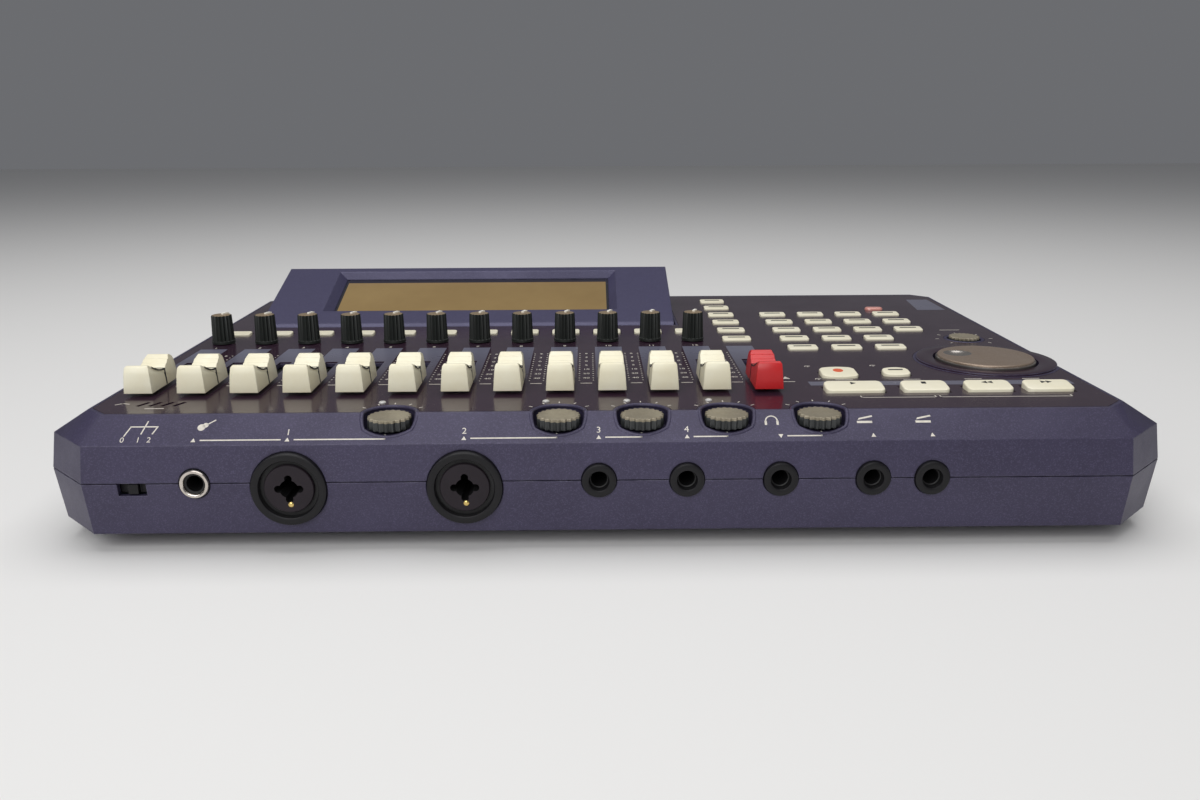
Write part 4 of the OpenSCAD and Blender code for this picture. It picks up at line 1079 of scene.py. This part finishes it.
def makeKeySet(node, places, dashed):
    look = keyLook
    bm = bmesh.new()
    top = highOf(node).z
    half = look["dash"] / 2
    level = look["dashBack"]
    for x, y in places:
        addSoftBlock(bm, x, y, keyWidth, keyDepth, deckZ - look["sink"], top, look["corner"], look["edge"],
                     look["frontShare"])
        if dashed:
            plane = leanPlane(x, y, keyDepth, top, look["frontShare"])
            addInkLine(bm, (-half, level), (half, level), look["dashWidth"], plane, 1)
    makePiece("caps_" + node, bm, [keyCream, printBlack], node, [node])


trackY = middleOf("track_keys").y
modeX = middleOf("mode_keys").x
modeFirstY = lowOf("mode_keys").y + flangeRim + keyDepth / 2
gridFirstX = lowOf("function_keys").x + flangeRim + keyWidth / 2
gridFirstY = lowOf("function_keys").y + flangeRim + keyDepth / 2
modeRows = 6
gridRows = [3, 3, 4, 4, 4]  # keys in each row, from the front
rowPitch = (highOf("mode_keys").y - lowOf("mode_keys").y - 2 * flangeRim - keyDepth) / (modeRows - 1)
trackPlaces = [(x, trackY) for x in faderX[:channelCount]]
modePlaces = [(modeX, modeFirstY + rowPitch * row) for row in range(modeRows)]
gridPlaces = [(gridFirstX + pitch * column, gridFirstY + rowPitch * row)
              for row, count in enumerate(gridRows) for column in range(count)]
makeKeySet("track_keys", trackPlaces, False)
makeKeySet("mode_keys", modePlaces, True)
makeKeySet("function_keys", gridPlaces, True)
print("keys made:", len(trackPlaces) + len(modePlaces) + len(gridPlaces))


# width and depth of a button's cap, inside its flange
def capSize(node):
    span = highOf(node) - lowOf(node)
    return span.x - 2 * flangeRim, span.y - 2 * flangeRim


# transport buttons with their usual symbols, whose corners are shares of the symbol's size
transportLook = {"corner": 2.6, "edge": 0.9, "frontShare": 0.4, "mark": 2.4, "markBack": 3.0}
transportMarks = {
    "play_button": [[(-0.5, -0.5), (0.5, 0.0), (-0.5, 0.5)]],
    "stop_button": [[(-0.42, -0.42), (0.42, -0.42), (0.42, 0.42), (-0.42, 0.42)]],
    "rewind_button": [[(0.0, 0.5), (-1.0, 0.0), (0.0, -0.5)], [(1.0, 0.5), (0.0, 0.0), (1.0, -0.5)]],
    "forward_button": [[(-1.0, -0.5), (0.0, 0.0), (-1.0, 0.5)], [(0.0, -0.5), (1.0, 0.0), (0.0, 0.5)]],
}


def makeTransport(node):
    look = transportLook
    x, y, _ = middleOf(node)
    top = highOf(node).z
    width, depth = capSize(node)
    bm = bmesh.new()
    addSoftBlock(bm, x, y, width, depth, deckZ - keyLook["sink"], top, look["corner"], look["edge"],
                 look["frontShare"])
    plane = leanPlane(x, y, depth, top, look["frontShare"])
    size = look["mark"]
    markY = depth / 2 - look["markBack"]
    for corners in transportMarks[node]:
        addInk(bm, [(size * px, markY + size * py) for px, py in corners], plane, 1)
    makePiece("cap_" + node, bm, [keyCream, printBlack], node, [node])


for node in transportMarks:
    makeTransport(node)


# barrel-shaped record and punch buttons
barrelLook = {"bow": 1.4, "steps": 16, "edge": 0.8, "corner": 1.4, "cornerFrom": 0.8, "frontShare": 0.45,
              "markBack": 1.2, "dot": 2.3, "dotCount": 28, "dash": 5.4, "dashWidth": 1.2}


def barrelOutline(look, width, depth, inset):
    front = []
    for step in range(look["steps"] + 1):
        share = 2 * step / look["steps"] - 1
        ease = max(0.0, abs(share) - look["cornerFrom"]) / (1 - look["cornerFrom"])
        reach = depth / 2 - inset - look["bow"] * share * share - look["corner"] * ease * ease
        front.append((share * (width / 2 - inset), -reach))
    return front + [(px, -py) for px, py in reversed(front)]


def makeBarrel(node, ink):
    look = barrelLook
    x, y, _ = middleOf(node)
    top = highOf(node).z
    width, depth = capSize(node)
    bm = bmesh.new()
    loops = [lift(barrelOutline(look, width, depth, 0.0), deckZ - keyLook["sink"], x, y)]
    for inset, z in roundEdge(look["edge"], top):
        loop = lift(barrelOutline(look, width, depth, inset), z, x, y)
        loops.append(leanFront(loop, y, depth, look["frontShare"]))
    addStack(bm, loops, 0)
    plane = leanPlane(x, y, depth, top, look["frontShare"])
    level = look["markBack"]
    half = look["dash"] / 2
    if node == "record_button":
        addInkDisc(bm, (0, level), look["dot"], plane, 1, look["dotCount"])
    else:
        addInkLine(bm, (-half, level), (half, level), look["dashWidth"], plane, 1)
    makePiece("cap_" + node, bm, [keyCream, ink], node, [node])


makeBarrel("record_button", dotOrange)
makeBarrel("punch_button", printBlack)
print("buttons made")


# the deck's front edge and the slope before it
filmMargin = 1.4
noseLap = 2.0
shoulder = {"top": lowOf("deck_film").y - filmMargin, "low": lowOf("top_case").y + noseLap, "drop": 9.5}
shoulderRun = shoulder["top"] - shoulder["low"]


def surfaceZ(y):
    if y >= shoulder["top"]:
        return deckZ
    return deckZ - (shoulder["top"] - y) * shoulder["drop"] / shoulderRun


# beads round the sunk knobs, following the deck and its slope
beadLook = {"frontRoom": 2.15, "contrastRoom": 1.5, "thick": 0.85, "rise": 0.3, "count": 96, "around": 12,
            "lipRoom": 1.0, "lipRound": 20.35, "lipFront": 0.35, "sharp": 80.0}


# reach of a front recess: round at the back, cut off by a flatter lip on the slope
def recessReach(angle, node):
    look = beadLook
    radius = (highOf(node).x - lowOf(node).x) / 2
    if node == "contrast_knob":
        return radius + look["contrastRoom"]
    base = highOf(node).z - scallopLook["frontHeight"]
    sunk = deckZ - base + look["lipRoom"]
    lipY = shoulder["top"] - sunk * shoulderRun / shoulder["drop"] - look["lipFront"]
    aside = lipY + look["lipRound"] - middleOf(node).y
    lip = aside * math.sin(angle) + math.sqrt(look["lipRound"] ** 2 - (aside * math.cos(angle)) ** 2)
    return min(radius + look["frontRoom"], lip)


def makeBead(node):
    look = beadLook
    middle = middleOf(node)
    bm = bmesh.new()
    rings = []
    for index in range(look["count"]):
        angle = 2 * math.pi * index / look["count"]
        spoke = Vector((math.cos(angle), math.sin(angle), 0))
        place = Vector((middle.x, middle.y, 0)) + spoke * recessReach(angle, node)
        place.z = surfaceZ(place.y) - look["thick"] + look["rise"]
        ring = []
        for part in range(look["around"]):
            turn = 2 * math.pi * part / look["around"]
            ring.append(place + (spoke * math.cos(turn) + Vector((0, 0, math.sin(turn)))) * look["thick"])
        rings.append(ring)
    addStack(bm, rings, 0, True)
    makePiece("recessBead_" + node, bm, [caseViolet], "case", (), look["sharp"])


for node in [*trimNodes, "contrast_knob"]:
    makeBead(node)
print("recess beads made")


# printed bands, ticks and figures of the channels
scaleLook = {"bandWidth": 13.4, "bandBack": -16.0, "bandFront": -104.0, "slotHalf": 2.9, "slotEnd": 2.9,
             "travel": 45.0, "front": -88.8, "back": -31.0, "rows": ["6", "3", "0", "5", "10", "20", "40"],
             "rowShare": 0.14, "figure": 2.2, "dot": 0.42, "dotAside": 3.1, "dotCount": 10, "smallDot": 0.8,
             "tick": 0.7, "tickHalf": 2.2, "number": 2.6, "numberBack": 2.6, "masterTick": (-2.0, 3.0),
             "masterMark": [(-1.2, 5.0), (2.2, 5.0), (0.5, 9.0)]}


def addBand(bm, x):
    look = scaleLook
    half = look["bandWidth"] / 2
    slot = look["slotHalf"]
    slotBack = faderRestY + look["travel"] + look["slotEnd"]
    slotFront = faderRestY - look["slotEnd"]
    for x0, x1 in ((x - half, x - slot), (x + slot, x + half)):
        addInkRect(bm, x0, x1, look["bandFront"], look["bandBack"], deckPlane)
    addInkRect(bm, x - slot, x + slot, slotBack, look["bandBack"], deckPlane)
    addInkRect(bm, x - slot, x + slot, look["bandFront"], slotFront, deckPlane)


def addScale(bm, centre):
    look = scaleLook
    row = (look["back"] - look["front"]) * look["rowShare"]
    for index, text in enumerate(look["rows"]):
        y = look["back"] - index * row
        addFigures(bm, text, (centre, y), look["figure"], deckPlane)
        for x in (centre - look["dotAside"], centre + look["dotAside"]):
            addInkDisc(bm, (x, y), look["dot"], deckPlane, 0, look["dotCount"])
            addInkDisc(bm, (x, y - row / 2), look["dot"] * look["smallDot"], deckPlane, 0, look["dotCount"])
    start = (centre - look["tickHalf"], look["front"])
    end = (centre + look["tickHalf"], look["front"])
    addInkLine(bm, start, end, look["tick"], deckPlane)


def makeChannelPrint():
    look = scaleLook
    bands = bmesh.new()
    marks = bmesh.new()
    for x in faderX:
        addBand(bands, x)
    numberY = look["bandBack"] + look["numberBack"]
    for number, x in enumerate(faderX[:channelCount], 1):
        addScale(marks, x + pitch / 2)
        addFigures(marks, str(number), (x, numberY), look["number"], deckPlane)
    master = faderX[-1] + pitch / 2
    start, end = [(master + x, look["front"]) for x in look["masterTick"]]
    addInkLine(marks, start, end, look["tick"], deckPlane)
    addInk(marks, [(master + x, look["front"] + y) for x, y in look["masterMark"]], deckPlane)
    makePiece("printBands", bands, [channelBlue], "case")
    makePiece("printScales", marks, [printWhite], "case")


makeChannelPrint()


# the rest of the deck's print
deckLook = {"panelBack": 20.5, "panelDepth": 6.5, "panelLeft": 3.0, "panelRight": 4.0,
            "sidePanel": [(188.0, 79.0), (204.6, 79.0), (204.6, 114.0), (191.5, 114.0)],
            "bracketFront": 6.0, "bracketLeft": 14.0, "bracketGap": (1.2, 3.2), "bracketRight": 6.0,
            "bracketRise": 2.2, "bracketLine": 0.5, "dashHalf": 3.5, "dashBack": 3.0, "dashLine": 0.6,
            "contrastHalf": 5.0, "contrastBack": 22.3, "fanLine": 0.45,
            "contrastFan": {"reach": 13.2, "length": 1.4, "step": 45, "side": 3},
            "trimFan": {"reach": 13.0, "length": 1.3, "step": 28, "side": 2},
            "recordHooks": [(-10.5, 16.5), (-10.5, -7.2)], "punchHook": (-6.0, 16.5), "hookRadius": 1.3,
            "hookLine": 0.45, "hookSweep": (20, 200), "hookDot": 0.5,
            "slitMark": [(-200.5, -118.5), (-198.3, -116.5), (-195.5, -117.6)], "slitLine": 0.6,
            "slitDash": [(-186.0, -124.5), (-179.0, -124.5)], "slitDashLine": 0.7,
            "gridHalf": 4.0, "gridBack": 7.4, "gridLine": 0.35}


def addDash(bm, x, y, half, width):
    addInkLine(bm, (x - half, y), (x + half, y), width, deckPlane)


# ticks fanned out behind a knob
def addFan(bm, place, fan):
    for turn in range(-fan["side"], fan["side"] + 1):
        angle = math.radians(90 + fan["step"] * turn)
        spoke = Vector((math.cos(angle), math.sin(angle)))
        start = Vector((place.x, place.y)) + spoke * fan["reach"]
        addInkLine(bm, start, start + spoke * fan["length"], deckLook["fanLine"], deckPlane)


def addHook(bm, place, offset):
    look = deckLook
    x = place.x + offset[0]
    y = place.y + offset[1]
    addInkArc(bm, (x, y), look["hookRadius"], look["hookLine"], *look["hookSweep"], deckPlane)
    addInkDisc(bm, (x, y - look["hookDot"]), look["hookDot"], deckPlane)


def makeDeckPrint():
    look = deckLook
    pale = bmesh.new()
    white = bmesh.new()
    playLow = lowOf("play_button")
    forwardHigh = highOf("forward_button")
    lineBack = playLow.y + look["panelBack"]
    addInkRect(pale, playLow.x - look["panelLeft"], forwardHigh.x + look["panelRight"],
               lineBack - look["panelDepth"], lineBack, deckPlane)
    addInk(pale, look["sidePanel"], deckPlane)
    bracketY = playLow.y - look["bracketFront"]
    gapLeft, gapRight = [middleOf("stop_button").x + aside for aside in look["bracketGap"]]
    left = playLow.x + look["bracketLeft"]
    right = forwardHigh.x - look["bracketRight"]
    for x0, x1 in ((left, gapLeft), (gapRight, right)):
        addInkLine(white, (x0, bracketY), (x1, bracketY), look["bracketLine"], deckPlane)
        for x in (x0, x1):
            upper = (x, bracketY + look["bracketRise"])
            addInkLine(white, (x, bracketY), upper, look["bracketLine"], deckPlane)
    for node in transportMarks:
        addDash(white, middleOf(node).x, lineBack + look["dashBack"], look["dashHalf"], look["dashLine"])
    contrast = middleOf("contrast_knob")
    addDash(white, contrast.x, contrast.y + look["contrastBack"], look["contrastHalf"], look["dashLine"])
    addFan(white, contrast, look["contrastFan"])
    for node in trimNodes:
        addFan(white, middleOf(node), look["trimFan"])
    for offset in look["recordHooks"]:
        addHook(white, middleOf("record_button"), offset)
    addHook(white, middleOf("punch_button"), look["punchHook"])
    for start, end in zip(look["slitMark"], look["slitMark"][1:]):
        addInkLine(white, start, end, look["slitLine"], deckPlane)
    addInkLine(white, *look["slitDash"], look["slitDashLine"], deckPlane)
    for x, y in gridPlaces[sum(gridRows[:2]):]:
        addDash(white, x, y + look["gridBack"], look["gridHalf"], look["gridLine"])
    makePiece("printPanels", pale, [bandBlue], "case")
    makePiece("printDeck", white, [printWhite], "case")


makeDeckPrint()


# marks on the front slope, at a distance from a socket's middle and a level up the slope
slopeUp = Vector((0, shoulderRun, shoulder["drop"])).normalized()
slopeOut = Vector((1, 0, 0)).cross(slopeUp)
slopePlane = Matrix((
    (1, 0, 0, 0),
    (0, slopeUp.y, slopeOut.y, shoulder["low"]),
    (0, slopeUp.z, slopeOut.z, deckZ - shoulder["drop"]),
    (0, 0, 0, 1)))
slopeLook = {"line": 0.55, "level": 2.4, "lineRoom": 2.8, "lineEnd": 0.6, "tick": 1.7, "pointer": 1.9,
             "pointerFoot": 0.8, "figure": 2.8, "figureRise": 3.3}
switchTree = {"x": -181.5, "line": 0.5, "figures": [("0", -7.4), ("1", -1.2), ("2", 3.0)], "figure": 2.4,
              "figureLevel": 2.7, "bar": [(-5.2, 8.8), (5.2, 8.8)], "stem": [(0.9, 11.2), (-0.6, 5.6)],
              "left": [(-5.2, 8.8), (-7.0, 4.6)], "right": [(5.2, 8.8), (3.8, 5.6)]}
pluckedMark = {"bouts": [(2.0, 8.3, 1.5), (3.5, 9.3, 1.1)], "neck": [(4.0, 9.6), (6.9, 11.6)], "line": 0.5}
headphoneMark = {"aside": -3.0, "level": 9.3, "radius": 2.3, "line": 0.5, "sweep": (-10, 190),
                 "pad": (7.9, 9.0), "padLine": 0.9}
pedalMark = [[(-5.6, 8.0), (0.4, 8.0), (0.4, 9.0), (-5.6, 9.0)],
             [(-5.2, 9.5), (0.8, 10.9), (0.6, 11.6), (-4.6, 10.4)]]


def shifted(points, x):
    return [(x + px, py) for px, py in points]


def addPointer(bm, x, way=1):
    level = slopeLook["level"]
    half = slopeLook["pointer"] / 2
    foot = level - way * half * slopeLook["pointerFoot"]
    corners = [(x - half, foot), (x + half, foot), (x, level + way * half)]
    addInk(bm, corners if way > 0 else list(reversed(corners)), slopePlane)


def addRuns(bm, guitarX):
    look = slopeLook
    level = look["level"]
    start = (guitarX + look["lineRoom"], level)
    addInkLine(bm, start, (comboX[0] - look["lineRoom"], level), look["line"], slopePlane)
    for socketX, knobX in zip([*comboX, *frontJackX], trimX):
        end = (knobX - look["lineEnd"], level)
        addInkLine(bm, (socketX + look["lineRoom"], level), end, look["line"], slopePlane)
        addInkLine(bm, end, (end[0], level + look["tick"]), look["line"], slopePlane)
    for x in [guitarX, *comboX, *frontJackX[:2], *frontJackX[3:]]:
        addPointer(bm, x)
    addPointer(bm, frontJackX[2], -1)
    for number, x in enumerate([*comboX, *frontJackX[:2]], 1):
        addFigures(bm, str(number), (x, level + look["figureRise"]), look["figure"], slopePlane)


def addSwitchTree(bm):
    look = switchTree
    for branch in ("bar", "stem", "left", "right"):
        addInkLine(bm, *shifted(look[branch], look["x"]), look["line"], slopePlane)
    for text, aside in look["figures"]:
        addFigures(bm, text, (look["x"] + aside, look["figureLevel"]), look["figure"], slopePlane)


def addPlucked(bm, guitarX):
    for aside, level, radius in pluckedMark["bouts"]:
        addInkDisc(bm, (guitarX + aside, level), radius, slopePlane)
    addInkLine(bm, *shifted(pluckedMark["neck"], guitarX), pluckedMark["line"], slopePlane)


def addHeadphones(bm, jackX):
    look = headphoneMark
    x = jackX + look["aside"]
    addInkArc(bm, (x, look["level"]), look["radius"], look["line"], *look["sweep"], slopePlane)
    for padX in (x - look["radius"], x + look["radius"]):
        start, end = [(padX, level) for level in look["pad"]]
        addInkLine(bm, start, end, look["padLine"], slopePlane)


def makeSlopePrint():
    bm = bmesh.new()
    guitarX = middleOf("guitar_jack").x
    addRuns(bm, guitarX)
    addSwitchTree(bm)
    addPlucked(bm, guitarX)
    addHeadphones(bm, frontJackX[2])
    for x in frontJackX[3:]:
        for plate in pedalMark:
            addInk(bm, shifted(plate, x), slopePlane)
    makePiece("printSlope", bm, [printWhite], "case")


makeSlopePrint()
print("printed marks made")


# small lamps
lampSink = 0.02
peakLook = {"radius": 1.5, "aside": 5.5, "back": 15.0, "lift": 0.15, "rise": 0.7, "count": 24, "steps": 5,
            "stepAngle": 18, "sharp": 60.0}
trackLampLook = {"back": 6.0, "size": (3.2, 1.3), "rise": 0.5, "corner": 0.5, "edge": 0.3}
accessLook = {"place": (162.3, 81.0), "size": (10.5, 6.0), "rise": 1.6, "corner": 2.6, "edge": 1.4}


def addDome(bm, x, y):
    look = peakLook
    loops = [lift(circle(look["radius"], look["count"]), deckZ - lampSink, x, y)]
    for step in range(look["steps"]):
        angle = math.radians(look["stepAngle"] * step)
        z = deckZ + look["lift"] + look["rise"] * math.sin(angle)
        loops.append(lift(circle(look["radius"] * math.cos(angle), look["count"]), z, x, y))
    addStack(bm, loops)


def addLens(bm, x, y, look):
    addSoftBlock(bm, x, y, *look["size"], deckZ - lampSink, deckZ + look["rise"], look["corner"],
                 look["edge"])


def makeLamps():
    clear = bmesh.new()
    for x in trimX[:4]:
        addDome(clear, x - peakLook["aside"], trimY + peakLook["back"])
    makePiece("peakLamps", clear, [lensClear], "case", (), peakLook["sharp"])
    small = bmesh.new()
    for x in faderX[:channelCount]:
        addLens(small, x, trackY + trackLampLook["back"], trackLampLook)
    makePiece("trackLamps", small, [lensClear], "case")
    rose = bmesh.new()
    addLens(rose, *accessLook["place"], accessLook)
    makePiece("accessLamp", rose, [lensRose], "case")


makeLamps()
print("lamps made")


# stage, light and camera
floorLook = {"colour": srgb(232, 231, 229), "size": 6.0, "rough": 0.8}
worldLook = {"colour": (0.92, 0.94, 1.0, 1.0), "strength": 0.16}
lightLook = {"overheadSoft": {"place": (0.0, 0.1, 1.3), "size": (1.6, 1.2), "power": 12.5},
             "frontSoft": {"place": (-0.4, -1.3, 0.9), "size": (1.4, 1.0), "power": 15.0}}
lightTarget = (0.0, 0.0, 0.05)
cameraLook = {"place": (-7.9, -525.0, 167.1), "pitch": 0.2701, "yaw": 0.0111, "roll": 0.0046,
              "focal": 1031.8, "frame": 1200.0, "sensor": 36.0, "nearest": 0.01}


def makeFloor():
    bpy.ops.mesh.primitive_plane_add(size=floorLook["size"], location=(0, 0, 0))
    floor = bpy.context.object
    floor.name = "studioFloor"
    material, _, shader = newMaterial("paleFloor")
    shader.inputs["Base Color"].default_value = floorLook["colour"]
    shader.inputs["Roughness"].default_value = floorLook["rough"]
    floor.data.materials.append(material)


def makeLight(name, look):
    data = bpy.data.lights.new(name, "AREA")
    data.shape = "RECTANGLE"
    data.size, data.size_y = look["size"]
    data.energy = look["power"]
    light = bpy.data.objects.new(name, data)
    bpy.context.scene.collection.objects.link(light)
    light.location = look["place"]
    light.rotation_mode = "QUATERNION"
    light.rotation_quaternion = (Vector(lightTarget) - Vector(look["place"])).to_track_quat("-Z", "Y")


def makeWorld():
    world = bpy.data.worlds.new("studioWorld")
    bpy.context.scene.world = world
    world.use_nodes = True
    back = world.node_tree.nodes["Background"]
    back.inputs["Color"].default_value = worldLook["colour"]
    back.inputs["Strength"].default_value = worldLook["strength"]


def makeCamera():
    look = cameraLook
    data = bpy.data.cameras.new("photoCamera")
    data.sensor_width = look["sensor"]
    data.lens = look["focal"] / look["frame"] * look["sensor"]
    data.clip_start = look["nearest"]
    camera = bpy.data.objects.new("photoCamera", data)
    bpy.context.scene.collection.objects.link(camera)
    ahead = Vector((math.sin(look["yaw"]) * math.cos(look["pitch"]),
                    math.cos(look["yaw"]) * math.cos(look["pitch"]), -math.sin(look["pitch"])))
    camera.location = Vector(look["place"]) * mm
    camera.rotation_mode = "QUATERNION"
    camera.rotation_quaternion = Quaternion(ahead, look["roll"]) @ ahead.to_track_quat("-Z", "Y")
    bpy.context.scene.camera = camera


makeFloor()
makeWorld()
for name, look in lightLook.items():
    makeLight(name, look)
makeCamera()
bpy.context.scene.view_settings.view_transform = "Standard"
print("stage, light and camera set")
